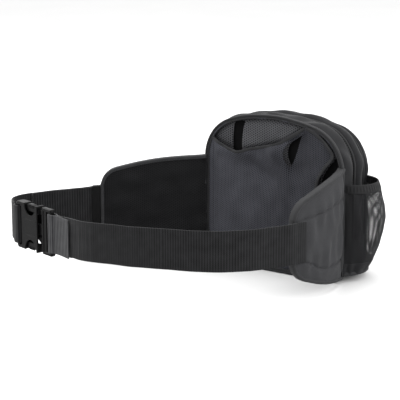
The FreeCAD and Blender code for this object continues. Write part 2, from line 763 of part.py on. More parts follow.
def make_plug():
    """The male half: a frame with a bar for the webbing and a central guide."""
    body = new_body("buckle_plug")
    half = "0.5 * Sizes.BuckleWidth"
    slab(body, "plug_frame", "Sizes.SeamGap", f"-{half}", "Sizes.PlugLength", half, "Sizes.PlugThick")
    slab(body, "plug_guide", "-Sizes.GuideLength", "-Sizes.ArmWidth", "5", "Sizes.ArmWidth", "5")
    slot(body, "plug_slot", "Sizes.PlugLength - Sizes.BarWidth - Sizes.SlotWidth",
         "-0.5 * Sizes.WebbingWidth - 1", "Sizes.PlugLength - Sizes.BarWidth",
         "0.5 * Sizes.WebbingWidth + 1", "40")
    body.Placement = buckle_placement()


def make_arms():
    """The two spring arms, each with a barb that fills its window in the socket."""
    edge = "Sizes.ArmEdge"
    barb = "(0.5 * Sizes.BuckleWidth - 0.4)"
    for name, side in (("lower", "-"), ("upper", "")):
        body = new_body(f"buckle_arm_{name}")
        sketch = body_sketch(body, f"arm_{name}_plan", "XY_Plane")
        corners = [
            ("-0.6", f"{side}({edge} - Sizes.ArmWidth)"),
            ("-0.6", f"{side}{edge}"),
            ("-Sizes.ArmLength + 12", f"{side}{edge}"),
            ("-Sizes.ArmLength + 12", f"{side}{barb}"),
            ("-Sizes.ArmLength + 2", f"{side}({barb} - 1)"),
            ("-Sizes.ArmLength", f"{side}({edge} - 2)"),
            ("-Sizes.ArmLength + 6", f"{side}({edge} - Sizes.ArmWidth)"),
        ]
        polygon(sketch, corners)
        pad(body, sketch, "Sizes.ArmThick", centred=True)
        body.Placement = buckle_placement()


def webbing_loop(label, bar_side, bar_end, thick, reach, leg):
    """Webbing folded round a bar: a U whose two legs close onto the strap."""
    body = new_body(label)
    sketch = body_sketch(body, f"{label}_side", "XZ_Plane")
    inner = f"(0.5 * {thick} + Sizes.SeamGap)"
    outer = f"({inner} + Sizes.WebbingSheet)"
    flat = "(0.5 * Sizes.WebbingSheet + Sizes.SeamGap)"
    top = f"({flat} + Sizes.WebbingSheet)"
    near = f"{bar_end} - ({bar_side}) * (Sizes.BarWidth + Sizes.SeamGap)"
    back = f"{near} - ({bar_side}) * Sizes.WebbingSheet"
    lift = f"{bar_end} + ({bar_side}) * Sizes.SeamGap"
    land = f"{bar_end} + ({bar_side}) * {reach}"
    end = f"{bar_end} + ({bar_side}) * {leg}"
    polygon(sketch, [
        (back, outer), (lift, outer), (land, top), (end, top), (end, flat), (land, flat),
        (lift, inner), (near, inner), (near, f"-{inner}"), (lift, f"-{inner}"), (land, f"-{flat}"),
        (end, f"-{flat}"), (end, f"-{top}"), (land, f"-{top}"), (lift, f"-{outer}"), (back, f"-{outer}"),
    ])
    pad(body, sketch, "Sizes.WebbingWidth", centred=True)
    body.Placement = buckle_placement()


def make_buckle():
    make_socket()
    make_plug()
    make_arms()
    webbing_loop("plug_webbing_loop", "1", "Sizes.PlugLength", "Sizes.PlugThick", "9", "36")
    webbing_loop("socket_webbing_loop", "-1", "-Sizes.SocketLength", "Sizes.BuckleThick", "8", "11")


# ------------------------------------------------------------------ zip sliders
# A slider is drawn about its corner's centre: Z outwards through it, X up round the arc.

def corner_centre(inset, drop):
    """Centre and radius of the pack's left high corner at a zip."""
    radius = value(f"Sizes.CornerHigh - 0.5 * {inset}")
    half = value(f"Sizes.HalfWidth - {inset}") - radius
    crown = value(f"Sizes.CrownRadius - {drop}")
    top = value(f"Sizes.PackHeight - {drop}")
    return -half, top - crown + math.sqrt((crown - radius) ** 2 - half ** 2), radius


def make_slider(name, depth, inset, drop):
    """A slider parked low on its zip's corner, with its pull hanging from it."""
    centre_x, centre_z, _ = corner_centre(inset, drop)
    place = Placement(Vector(centre_x, value(depth), centre_z),
                      Rotation(Vector(0, 1, 0), 90 - value("Sizes.SliderPark")))
    base = f"Sizes.CornerHigh - 0.5 * {inset} + 0.8"
    half = "0.5 * Sizes.SliderLength"
    slider = new_body(f"{name}_slider")
    side = body_sketch(slider, f"{name}_slider_side", "XZ_Plane")
    polygon(side, [
        (f"-{half}", base), (half, base), (half, f"{base} + 0.6 * Sizes.SliderThick"),
        (f"0.5 * {half}", f"{base} + Sizes.SliderThick"),
        (f"-0.5 * {half}", f"{base} + Sizes.SliderThick"),
        (f"-{half}", f"{base} + 0.6 * Sizes.SliderThick"),
    ])
    pad(slider, side, "Sizes.SliderWidth", centred=True)
    slider.Placement = place
    tab = new_body(f"{name}_pull")
    lift = f"{base} + Sizes.SliderThick + 2.5 * Sizes.SeamGap"
    plan = body_sketch(tab, f"{name}_pull_plan", "XY_Plane", lift)
    rectangle(plan, "2 - Sizes.PullLength", "-0.5 * Sizes.PullWidth", "2", "0.5 * Sizes.PullWidth")
    circle(plan, "6 - Sizes.PullLength", "0", "0.2 * Sizes.PullWidth")
    pad(tab, plan, "Sizes.PullThick")
    tab.Placement = place


def make_sliders():
    make_slider("main", "Sizes.MainZip", "Sizes.ZipInset", "Sizes.ZipDrop")
    make_slider("front", "Sizes.PocketZip", "Sizes.PocketInset", "Sizes.PocketDrop")


def main():
    make_shell_walls()
    make_back_panel()
    make_front()
    make_bottle_pockets()
    make_wings()
    make_straps()
    make_buckle()
    make_sliders()
    DOC.recompute()
    check_and_write()


def check_and_write():
    """Stop on any failed object or bad solid, then write one STEP file for each node."""
    for item in DOC.Objects:
        if "Invalid" in item.State or "Error" in item.State:
            raise RuntimeError(f"{item.Label} failed: {item.State}")
    os.makedirs("parts", exist_ok=True)
    for node in NODES:
        shape = node.Shape
        if shape.isNull() or not shape.isValid() or not shape.Solids:
            raise RuntimeError(f"{node.Label} has no valid solid")
        print(f"{node.Label:22s} solids {len(shape.Solids)} volume {shape.Volume / 1000:9.2f} cm3")
        shape.exportStep(os.path.join("parts", f"{node.Label}.step"))


main()
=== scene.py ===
"""The looks of a waist pack: cloth, netting, webbing and moulded plastic round its CAD frame.

Points are worked out in millimetres in the CAD frame (+Z up, -Y towards the wearer) and
become metres when a mesh is made. UV coordinates are metres of cloth.
"""

import math

import bmesh
import bpy
import numpy as np
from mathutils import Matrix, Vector
from mathutils.geometry import delaunay_2d_cdt


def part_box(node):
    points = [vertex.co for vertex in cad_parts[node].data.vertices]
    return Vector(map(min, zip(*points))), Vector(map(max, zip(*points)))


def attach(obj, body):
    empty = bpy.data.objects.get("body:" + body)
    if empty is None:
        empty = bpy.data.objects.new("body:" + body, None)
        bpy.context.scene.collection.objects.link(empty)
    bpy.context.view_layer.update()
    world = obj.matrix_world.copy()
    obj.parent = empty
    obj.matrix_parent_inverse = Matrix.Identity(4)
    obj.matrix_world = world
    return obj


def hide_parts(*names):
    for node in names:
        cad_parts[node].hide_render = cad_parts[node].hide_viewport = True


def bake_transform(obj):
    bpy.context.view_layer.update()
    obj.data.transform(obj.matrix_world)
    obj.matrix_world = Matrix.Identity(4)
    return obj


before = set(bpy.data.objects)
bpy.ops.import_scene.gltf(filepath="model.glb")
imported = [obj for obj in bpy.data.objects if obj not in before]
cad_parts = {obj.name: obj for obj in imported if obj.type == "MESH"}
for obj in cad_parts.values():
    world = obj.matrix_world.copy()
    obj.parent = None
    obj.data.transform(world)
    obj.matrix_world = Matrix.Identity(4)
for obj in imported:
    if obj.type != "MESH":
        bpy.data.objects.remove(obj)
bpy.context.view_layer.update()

MM = 0.001
FORWARD = (0.0, 1.0, 0.0)
BACKWARD = (0.0, -1.0, 0.0)
UP = np.array([0.0, 0.0, 1.0])


def node_box(name):
    """Lowest and highest corner of a CAD node, in millimetres."""
    low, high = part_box(name)
    return np.array(low) / MM, np.array(high) / MM


# ------------------------------------------------------------------ driving sizes

RIM_LOW, RIM_HIGH = node_box("rear_piping")
HALF_WIDTH = RIM_HIGH[0]
PACK_HEIGHT = RIM_HIGH[2]
BACK_FACE = (RIM_LOW[1] + RIM_HIGH[1]) / 2
CORNER_LOW = 22.0
CORNER_HIGH = 57.0
CROWN_RADIUS = 230.0
STATIONS = np.array([-37.0, -8.0, 23.0, 38.0])
INSETS = np.array([3.0, 3.0, 7.0, 11.0])
DROPS = np.array([3.0, 3.0, 9.0, 15.0])
LIFTS = np.array([0.0, 0.0, 0.0, 2.0])
ARCH_FOOT = 44.0
MAIN_ZIP, POCKET_ZIP, FRONT_FACE = STATIONS[1:]
HALF_TAPE = 6.5

WEBBING_WIDTH = 50.0
WEBBING_SHEET = 1.5
BUCKLE_PLACE = np.array([-227.15, -226.09, 60.5])
BUCKLE_HEADING = math.radians(-14)


# -------------------------------------------------------------------- mesh making

def smoothstep(value, low=0.0, high=1.0):
    share = np.clip((value - low) / (high - low), 0, 1)
    return share * share * (3 - 2 * share)


WAVES = 7


def ripple(a, b, wavelength, seed):
    """Smooth uneven waves, mostly within -1 and 1, over two coordinates."""
    random = np.random.default_rng(seed)
    total = 0.0
    for _ in range(WAVES):
        turn = random.uniform(0, math.tau)
        rate = math.tau / (wavelength * random.uniform(0.7, 1.7))
        phase = random.uniform(0, math.tau)
        total = total + np.sin(rate * (a * math.cos(turn) + b * math.sin(turn)) + phase)
    return total / math.sqrt(WAVES)


def unit(vectors):
    return vectors / np.maximum(np.linalg.norm(vectors, axis=-1, keepdims=True), 1e-9)


def lengths(points):
    """How far along a line of points each one lies."""
    steps = np.linalg.norm(np.diff(points, axis=0), axis=1)
    return np.concatenate([[0.0], np.cumsum(steps)])


def values_at(distances, travelled, rows):
    """Rows of values, known where a path has travelled so far, at other distances."""
    return np.stack([np.interp(distances, travelled, axis) for axis in rows.T], -1)


def along_path(points, distances):
    """Points at given distances along a line of points."""
    return values_at(distances, lengths(points), points)


def headings(path):
    """Unit directions along a line of points."""
    return unit(np.gradient(path, axis=0))


def ring_closed(points):
    """A loop of points with its first one again at its end."""
    return np.concatenate([points, points[:1]])


def every(direction, count):
    """The same direction for each point of a path."""
    return np.tile(np.array(direction, float), (count, 1))


def add_object(name, data):
    """Put a mesh, light, camera or curve in the scene."""
    obj = bpy.data.objects.new(name, data)
    bpy.context.scene.collection.objects.link(obj)
    return obj


def grid_normals(points, wrap_columns=False):
    """Unit normals of a grid of points, on the side of columns x rows."""
    down = np.gradient(points, axis=0)
    if wrap_columns:
        over = np.roll(points, -1, axis=1) - np.roll(points, 1, axis=1)
    else:
        over = np.gradient(points, axis=1)
    return unit(np.cross(over, down))


def travel(path, closed):
    """Lengths along a path, with the step back to its start where it is closed."""
    along = lengths(path)
    if closed:
        along = np.append(along, along[-1] + np.linalg.norm(path[0] - path[-1]))
    return along


def wrapped_faces(rows, columns, closed):
    """Faces of a grid whose rows close on themselves, and each corner's row and column."""
    row, column = np.meshgrid(
        np.arange(rows), np.arange(columns - (not closed)), indexing="ij")
    row, column = row.ravel(), column.ravel()
    corner_rows = np.stack([row, row, row + 1, row + 1], 1)
    corner_columns = np.stack([column, column + 1, column + 1, column], 1)
    faces = (corner_rows % rows) * columns + corner_columns % columns
    return faces.tolist(), corner_rows, corner_columns


class Shell:
    """Collects closed forms, in millimetres, into one mesh with cloth coordinates."""

    def __init__(self):
        self.points, self.faces, self.corners = [], [], []
        self.count = 0

    def raw(self, points, faces, corners):
        self.points.append(np.asarray(points, float).reshape(-1, 3))
        self.faces += [[index + self.count for index in face] for face in faces]
        self.corners += [corner for face in corners for corner in face]
        self.count += len(self.points[-1])

    def tube(self, points, closed=False):
        """A bar from a grid: its rows go round a section and its columns along a path."""
        rows, columns = points.shape[:2]
        across = lengths(ring_closed(points[:, 0]))
        along = travel(points.mean(axis=0), closed)
        faces, corner_rows, corner_columns = wrapped_faces(rows, columns, closed)
        corners = np.stack([along[corner_columns], across[corner_rows]], -1).tolist()
        if not closed:
            for column, backwards in ((0, False), (columns - 1, True)):
                order = range(rows - 1, -1, -1) if backwards else range(rows)
                faces.append([index * columns + column for index in order])
                corners.append([[along[column], across[index]] for index in order])
        self.raw(points, faces, corners)

    def cloth(self, points, thickness, closed=False):
        """A sheet: its outer face is a grid, and its edges are rounded."""
        rows, columns = points.shape[:2]
        inner = points - grid_normals(points, closed) * thickness
        bulge = 0.35 * thickness
        near = (points[0] + inner[0]) / 2 + unit(points[0] - points[1]) * bulge
        far = (points[-1] + inner[-1]) / 2 + unit(points[-1] - points[-2]) * bulge
        loop = np.concatenate([points, far[None], inner[::-1], near[None]])
        across = lengths(points[:, columns // 2])
        edge = thickness / 2
        round_it = np.concatenate([across, [across[-1] + edge], across[::-1], [-edge], [0.0]])
        along = travel(points[rows // 2], closed)
        faces, corner_rows, corner_columns = wrapped_faces(len(loop), columns, closed)
        corners = np.stack([along[corner_columns], round_it[corner_rows]], -1).tolist()
        if not closed:
            for column in (0, columns - 1):
                for start in range(rows - 1):
                    ring = [start, start + 1, 2 * rows - start - 1, 2 * rows - start]
                    faces.append([index * columns + column for index in ring])
                    corners.append([[along[column], across[start]]] * 4)
                for ring in ([rows - 1, rows, rows + 1], [0, 2 * rows, 2 * rows + 1]):
                    faces.append([index * columns + column for index in ring])
                    corners.append([[along[column], 0.0]] * 3)
        self.raw(loop, faces, corners)

    def scatter(self, form, faces, centres, x_axis, y_axis, z_axis):
        """Copies of a small form, each set on three directions."""
        for centre, first, second, third in zip(centres, x_axis, y_axis, z_axis):
            points = centre + form[:, :1] * first + form[:, 1:2] * second + form[:, 2:] * third
            self.raw(points, faces, [[[0.0, 0.0]] * len(face) for face in faces])

    def piece(self, name, material):
        """Make the Blender object."""
        mesh = bpy.data.meshes.new(name)
        mesh.from_pydata((np.concatenate(self.points) * MM).tolist(), [], self.faces)
        layer = mesh.uv_layers.new(name="cloth")
        layer.data.foreach_set("uv", (np.asarray(self.corners) * MM).ravel())
        made = bmesh.new()
        made.from_mesh(mesh)
        bmesh.ops.recalc_face_normals(made, faces=made.faces)
        made.to_mesh(mesh)
        made.free()
        mesh.shade_smooth()
        mesh.set_sharp_from_angle(angle=math.radians(60))
        mesh.materials.append(material)
        return add_object(name, mesh)


def settle(obj, body, slot, *nodes):
    """A rigid or sewn-on piece: the body it rides on and what it stands for, whose CAD nodes are hidden.
    The slot is not used.
    """
    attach(obj, body)
    if nodes:
        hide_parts(*nodes)
    return obj


def barrel(sides, stations):
    """A small closed form along X: rings of given place and radius."""
    turns = np.arange(sides) * math.tau / sides
    points = [[place, radius * math.cos(turn), radius * math.sin(turn)]
              for place, radius in stations for turn in turns]
    faces = [[ring * sides + side, ring * sides + (side + 1) % sides,
              (ring + 1) * sides + (side + 1) % sides, (ring + 1) * sides + side]
             for ring in range(len(stations) - 1) for side in range(sides)]
    faces.append(list(range(sides))[::-1])
    last = (len(stations) - 1) * sides
    faces.append([last + side for side in range(sides)])
    return np.array(points), faces


STITCH = barrel(6, [(-0.5, 0.35), (-0.3, 0.9), (0.3, 0.9), (0.5, 0.35)])
STITCH_PITCH = 3.4
STITCH_LENGTH = 2.6
THREAD = 0.32


def stitch_line(shell, path, normal, pitch=STITCH_PITCH):
    """A row of stitches lying on a surface along a path."""
    travelled = lengths(path)
    count = max(2, int(travelled[-1] / pitch))
    middles = (np.arange(count) + 0.5) * travelled[-1] / count
    centres = along_path(path, middles)
    ahead = unit(along_path(path, middles + 0.4) - along_path(path, middles - 0.4))
    outward = unit(values_at(middles, travelled, normal))
    side = unit(np.cross(outward, ahead))
    length = STITCH_LENGTH * pitch / STITCH_PITCH
    shell.scatter(*STITCH, centres, ahead * length, side * THREAD, outward * THREAD * 0.7)


# ---------------------------------------------------------------------- materials

class Look:
    """A Principled material whose colour, roughness and relief come from a pattern."""

    def __init__(self, name, roughness=0.8, sheen=0.0, specular=0.5, solid=False):
        self.material = bpy.data.materials.new(name)
        self.material.use_nodes = True
        self.tree = self.material.node_tree
        self.shader = self.tree.nodes["Principled BSDF"]
        self.shader.inputs["Roughness"].default_value = roughness
        self.shader.inputs["Sheen Weight"].default_value = sheen
        self.shader.inputs["Sheen Roughness"].default_value = 0.35
        self.shader.inputs["Specular IOR Level"].default_value = specular
        where = self.tree.nodes.new("ShaderNodeTexCoord")
        self.place = where.outputs["Object" if solid else "UV"]
        split = self.tree.nodes.new("ShaderNodeSeparateXYZ")
        self.tree.links.new(self.place, split.inputs[0])
        if solid:
            self.u = self.math("ADD", split.outputs[0], split.outputs[1])
            self.v = split.outputs[2]
        else:
            self.u, self.v = split.outputs[0], split.outputs[1]

    def math(self, operation, first, second=0.0):
        node = self.tree.nodes.new("ShaderNodeMath")
        node.operation = operation
        for socket, value in zip(node.inputs, (first, second)):
            if isinstance(value, (int, float)):
                socket.default_value = value
            else:
                self.tree.links.new(value, socket)
        return node.outputs[0]

    def wave(self, coordinate, pitch):
        """A sine along a coordinate, with a pitch in metres."""
        return self.math("SINE", self.math("MULTIPLY", coordinate, math.tau / pitch))

    def slanted(self, turn):
        """Distance along a direction in the cloth, turned by an angle in degrees."""
        angle = math.radians(turn)
        first = self.math("MULTIPLY", self.u, math.cos(angle))
        return self.math("ADD", first, self.math("MULTIPLY", self.v, math.sin(angle)))

    def noise(self, size, detail=2.0):
        """Uneven patches of about a size in metres, from 0 to 1."""
        node = self.tree.nodes.new("ShaderNodeTexNoise")
        node.inputs["Scale"].default_value = 1 / size
        node.inputs["Detail"].default_value = detail
        self.tree.links.new(self.place, node.inputs["Vector"])
        return node.outputs["Fac"]

    def worn_edges(self, gain):
        """High where the surface is sharply convex."""
        geometry = self.tree.nodes.new("ShaderNodeNewGeometry")
        above_flat = self.math("SUBTRACT", geometry.outputs["Pointiness"], 0.5)
        return self.math("MULTIPLY", above_flat, gain)

    def total(self, *terms):
        """A constant and any number of (signal, weight) added up."""
        result = terms[0]
        for signal, weight in terms[1:]:
            result = self.math("ADD", self.math("MULTIPLY", signal, weight), result)
        return result

    def colour(self, dark, light, share):
        mix = self.tree.nodes.new("ShaderNodeMix")
        mix.data_type = "RGBA"
        mix.clamp_factor = True
        self.tree.links.new(share, mix.inputs["Factor"])
        sockets = [socket for socket in mix.inputs if socket.type == "RGBA"]
        sockets[0].default_value = (*dark, 1)
        sockets[1].default_value = (*light, 1)
        result = next(socket for socket in mix.outputs if socket.type == "RGBA")
        self.tree.links.new(result, self.shader.inputs["Base Color"])

    def roughness(self, share, low, high):
        node = self.tree.nodes.new("ShaderNodeMapRange")
        node.inputs["To Min"].default_value = low
        node.inputs["To Max"].default_value = high
        self.tree.links.new(share, node.inputs["Value"])
        self.tree.links.new(node.outputs["Result"], self.shader.inputs["Roughness"])

    def relief(self, height, depth, strength=0.6):
        node = self.tree.nodes.new("ShaderNodeBump")
        node.inputs["Distance"].default_value = depth
        node.inputs["Strength"].default_value = strength
        self.tree.links.new(height, node.inputs["Height"])
        self.tree.links.new(node.outputs["Normal"], self.shader.inputs["Normal"])


CLOTH_BLUE, TAPE_BLUE, HARD_BLUE = 0.08, 0.06, 0.03


def tint(grey, blue):
    """A grey that leans towards blue by a share."""
    return (grey, grey * (1 + 0.1 * blue), grey * (1 + blue))


def woven(name, dark, light, pitch, roughness=(0.72, 0.9), solid=False):
    """Plain-weave cloth with uneven yarns."""
    look = Look(name, sheen=0.04, specular=0.09, solid=solid)
    yarns = look.math("MULTIPLY", look.wave(look.u, 2 * pitch), look.wave(look.v, 2 * pitch))
    slubs = look.noise(pitch * 5, 3.0)
    patches = look.noise(0.035, 3.0)
    share = look.total(0.05, (yarns, 0.22), (slubs, 0.5), (patches, 0.4))
    look.colour(tint(dark, CLOTH_BLUE), tint(light, CLOTH_BLUE), share)
    look.roughness(slubs, *roughness)
    look.relief(look.total(0.0, (yarns, 0.5), (slubs, 0.6)), 0.00012)
    return look.material


def knitted(name, dark, light, pitch, hole, blue=CLOTH_BLUE, shade_slope=0.0):
    """Spacer mesh: a knit with a staggered lattice of small round holes, with painted shade that darkens
    it along u.
    """
    look = Look(name, sheen=0.03, specular=0.07)
    lattice = 0.0
    rate = math.tau / (0.866 * pitch)
    for turn in (0, 60, 120):
        wave = look.math("COSINE", look.math("MULTIPLY", look.slanted(turn), rate))
        lattice = look.math("ADD", wave, lattice)
    holes = look.math("MULTIPLY", look.math("MAXIMUM", lattice, -0.5), 0.33)
    threads = look.math("MULTIPLY", look.wave(look.u, pitch / 3), look.wave(look.v, pitch / 3))
    patches = look.noise(0.03, 3.0)
    # The last term is painted shade: the colour darkens along u, the cloth's x.
    share = look.total(0.28, (holes, -hole), (threads, 0.08), (patches, 0.5), (look.u, -shade_slope))
    look.colour(tint(dark, blue), tint(light, blue), share)
    look.roughness(patches, 0.75, 0.92)
    look.relief(look.total(0.0, (holes, -1.0), (threads, 0.15)), 0.0004)
    return look.material


def ribbed(name, dark, light, pitch, lengthwise=False, sheen=0.03, specular=0.1):
    """Tape or webbing: a row of ribs, each crossed by fine yarns."""
    look = Look(name, sheen=sheen, specular=specular)
    main, cross = (look.v, look.u) if lengthwise else (look.u, look.v)
    ribs = look.wave(main, pitch)
    yarns = look.wave(cross, pitch * 0.8)
    streaks = look.noise(0.012, 4.0)
    crossed = look.math("MULTIPLY", ribs, yarns)
    share = look.total(0.18, (ribs, 0.24), (crossed, 0.12), (streaks, 0.6))
    look.colour(tint(dark, TAPE_BLUE), tint(light, TAPE_BLUE), share)
    look.roughness(streaks, 0.6, 0.8)
    look.relief(look.total(0.0, (ribs, 0.6), (yarns, 0.2), (streaks, 0.3)), 0.00025)
    return look.material


def moulded(name, dark, light, roughness, solid=False):
    """Moulded plastic or coated metal: a fine grain, with paler worn edges."""
    look = Look(name, specular=0.06, solid=solid)
    fine = look.noise(0.0006, 3.0)
    patches = look.noise(0.01, 3.0)
    wear = look.worn_edges(5.0)
    share = look.total(0.0, (fine, 0.25), (patches, 0.5), (wear, 1.0))
    look.colour(tint(dark, HARD_BLUE), tint(light, HARD_BLUE), share)
    look.roughness(look.total(0.0, (fine, 0.5), (patches, 0.5)), *roughness)
    look.relief(fine, 0.00006, 0.35)
    return look.material


SHELL_CLOTH = woven("shell_cloth", 0.003, 0.019, 0.0006)
# The apron darkens towards its right side: painted shade for the light that falls off across it.
APRON_CLOTH = knitted("apron_cloth", 0.004, 0.056, 0.0026, hole=0.75, blue=0.2, shade_slope=1.6)
WING_CLOTH = woven("wing_cloth", 0.010, 0.034, 0.00045, roughness=(0.62, 0.8))
SPACER_MESH = knitted("spacer_mesh", 0.006, 0.085, 0.0031, hole=0.9)
WING_MESH = knitted("wing_mesh", 0.0015, 0.011, 0.0030, hole=0.7)
NET = woven("pocket_net", 0.004, 0.022, 0.0003)
BINDING = ribbed("binding_tape", 0.006, 0.032, 0.0009)
ELASTIC = ribbed("elastic_band", 0.003, 0.016, 0.0016, lengthwise=True)
WEBBING = ribbed("webbing_weave", 0.0006, 0.021, 0.0033, sheen=0.22, specular=0.06)
# Near-black keeper: painted shade for the dark band where the belt meets the left wing's tip.
SHADED_KEEPER = ribbed("keeper_painted_shade", 0.0008, 0.004, 0.0014, lengthwise=True)
ZIP_TAPE = ribbed("zip_tape_weave", 0.004, 0.024, 0.0007, lengthwise=True)
# A paler copy of the webbing: painted light on the plug's loop, which faces the near left lamp.
WEBBING_PAINTED_LIGHT = ribbed("webbing_painted_light", 0.002, 0.06, 0.0033, sheen=0.22, specular=0.06)
ZIP_COIL = moulded("zip_coil_nylon", 0.001, 0.009, roughness=(0.28, 0.42))
PLASTIC = moulded("buckle_acetal", 0.0006, 0.005, roughness=(0.26, 0.4))
METAL = moulded("slider_paint", 0.004, 0.03, roughness=(0.22, 0.36), solid=True)
THREAD_LOOK = woven("sewing_thread", 0.012, 0.05, 0.0004)
# A near-black sheet that is painted shade, seen through openings cut in the back.
SHADE_CLOTH = woven("painted_shade_sheet", 0.0012, 0.0040, 0.0006, roughness=(0.9, 0.98))
FOAM = woven("foam_cells", 0.02, 0.05, 0.0009, roughness=(0.85, 0.97), solid=True)
LINING = woven("lining_cloth", 0.02, 0.05, 0.0005, solid=True)


def dress(material, *names):
    """Give CAD nodes that stay as they are a better material."""
    for name in names:
        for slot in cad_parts[name].material_slots:
            slot.material = material


# ------------------------------------------------------------ the pack's outline

def line_points(start, end, count):
    share = np.linspace(0, 1, count, endpoint=False)[:, None]
    return np.array(start) + share * (np.array(end) - np.array(start))


def arc_points(centre, radius, start, end, count):
    turns = np.radians(np.linspace(start, end, count, endpoint=False))
    return np.array(centre) + radius * np.stack([np.cos(turns), np.sin(turns)], -1)


def outline(inset, drop, lift):
    """The outline as a closed loop of (x, z), anticlockwise from the middle of the base."""
    half = HALF_WIDTH - inset
    low, high, crown = CORNER_LOW - inset / 2, CORNER_HIGH - inset / 2, CROWN_RADIUS - drop
    crown_z = PACK_HEIGHT - drop - crown
    corner_z = crown_z + math.sqrt((crown - high) ** 2 - (half - high) ** 2)
    lean = math.degrees(math.asin((half - high) / (crown - high)))
    right = np.concatenate([
        line_points((0, lift), (half - low, lift), 40),
        arc_points((half - low, lift + low), low, -90, 0, 16),
        line_points((half, lift + low), (half, corner_z), 60),
        arc_points((half - high, corner_z), high, 0, 90 - lean, 40),
        arc_points((0, crown_z), crown, 90 - lean, 90, 40),
        [[0, PACK_HEIGHT - drop]],
    ])
    left = right[1:-1][::-1] * (-1, 1)
    return np.concatenate([right, left])


def outline_at(y):
    return outline(*(np.interp(y, STATIONS, values) for values in (INSETS, DROPS, LIFTS)))


def outward(loop):
    ahead = unit(np.roll(loop, -1, axis=0) - np.roll(loop, 1, axis=0))
    return np.stack([ahead[:, 1], -ahead[:, 0]], -1)


def trace(loop, part="loop", foot=ARCH_FOOT, count=420):
    """Evenly spaced (x, z) points, their outward directions and lengths along a loop.

    The arch is what lies above the foot, and the base is what lies below it.
    """
    ring = ring_closed(loop)
    travelled = lengths(ring)
    total = travelled[-1]
    rising = np.argmax(ring[:, 1] > foot)
    share = (foot - ring[rising - 1, 1]) / (ring[rising, 1] - ring[rising - 1, 1])
    mark = travelled[rising - 1] + share * (travelled[rising] - travelled[rising - 1])
    if part == "arch":
        distances = np.linspace(mark, total - mark, count)
    elif part == "base":
        distances = np.linspace(-mark, mark, count)
    else:
        distances = np.linspace(0, total, count, endpoint=False)
    normals = ring_closed(outward(loop))
    at = distances % total
    facing = unit(values_at(at, travelled, normals))
    return values_at(at, travelled, ring), facing, distances


def wall_point(y, part, stand, foot=ARCH_FOOT):
    """A row of the wall at a depth, standing out by an amount that may vary."""
    flat, facing, travelled = trace(outline_at(y), part, foot)
    moved = flat + facing * np.broadcast_to(stand, (len(flat),))[:, None]
    return np.column_stack([moved[:, 0], np.full(len(flat), float(y)), moved[:, 1]]), travelled


def edge_spaced(low, high, count):
    """Values from low to high, closer together near both ends."""
    share = np.linspace(0, 1, count)
    return low + (high - low) * (0.5 * share + 0.5 * (1 - np.cos(math.pi * share)) / 2)


def soft_band(shell, low, high, part="arch", puff=1.0, roll=3.3, crease=1.1, seed=1,
              rows=16, foot=ARCH_FOOT, lift=0.0):
    """A strip of cloth round the wall: turned in at its seams and gently creased."""
    grid = []
    for y in edge_spaced(low, high, rows):
        _, travelled = wall_point(y, part, 0.0, foot)
        edge = min(y - low, high - y)
        share = (y - low) / (high - low)
        stand = 4 * puff * share * (1 - share) - roll * math.exp(-edge / 1.1) + lift
        stand = stand + crease * ripple(travelled, y, 34, seed) * smoothstep(edge, 0, 5)
        grid.append(wall_point(y, part, stand, foot)[0])
    shell.cloth(np.array(grid), 1.5)


def wall_stitches(shell, y, stand=0.35):
    path, _ = wall_point(y, "arch", stand)
    base, _ = wall_point(y, "arch", 0.0)
    stitch_line(shell, path, unit(path - base))


# --------------------------------------------------------- gussets, zips and base

def build_walls():
    """The cloth bands between the seams, each standing for its CAD band."""
    bands = [
        ("rear_gusset", STATIONS[0] - 0.4, MAIN_ZIP - HALF_TAPE + 0.5, 1.9, 11),
        ("middle_gusset", MAIN_ZIP + HALF_TAPE - 0.5, POCKET_ZIP - HALF_TAPE + 0.5, 2.2, 12),
        ("front_gusset", POCKET_ZIP + HALF_TAPE - 0.5, 38.6, 1.4, 13),
    ]
    for name, low, high, puff, seed in bands:
        shell, threads = Shell(), Shell()
        soft_band(shell, low, high, puff=puff, seed=seed)
        cloth = settle(shell.piece(name + "_cloth", SHELL_CLOTH), "root", "shell_fabric", name)
        for y in (low + 2.4, high - 2.4):
            wall_stitches(threads, y, stand=0.5)
        sewn = settle(threads.piece(name + "_stitching", THREAD_LOOK), "root", "shell_fabric")

    base = Shell()
    soft_band(base, STATIONS[0] - 0.4, 38.4, part="base", puff=0.3, crease=0.35, seed=14,
              rows=30, foot=ARCH_FOOT + 4, lift=0.5, roll=0.9)
    cloth = settle(base.piece("bottom_panel_cloth", SHELL_CLOTH), "root", "shell_fabric", "bottom_panel")


TOOTH = barrel(6, [(-1.9, 0.3), (-1.3, 0.55), (0.5, 0.55), (0.9, 0.75), (1.3, 0.4)])
TOOTH_PITCH = 1.5
COIL_GAP = 2.6


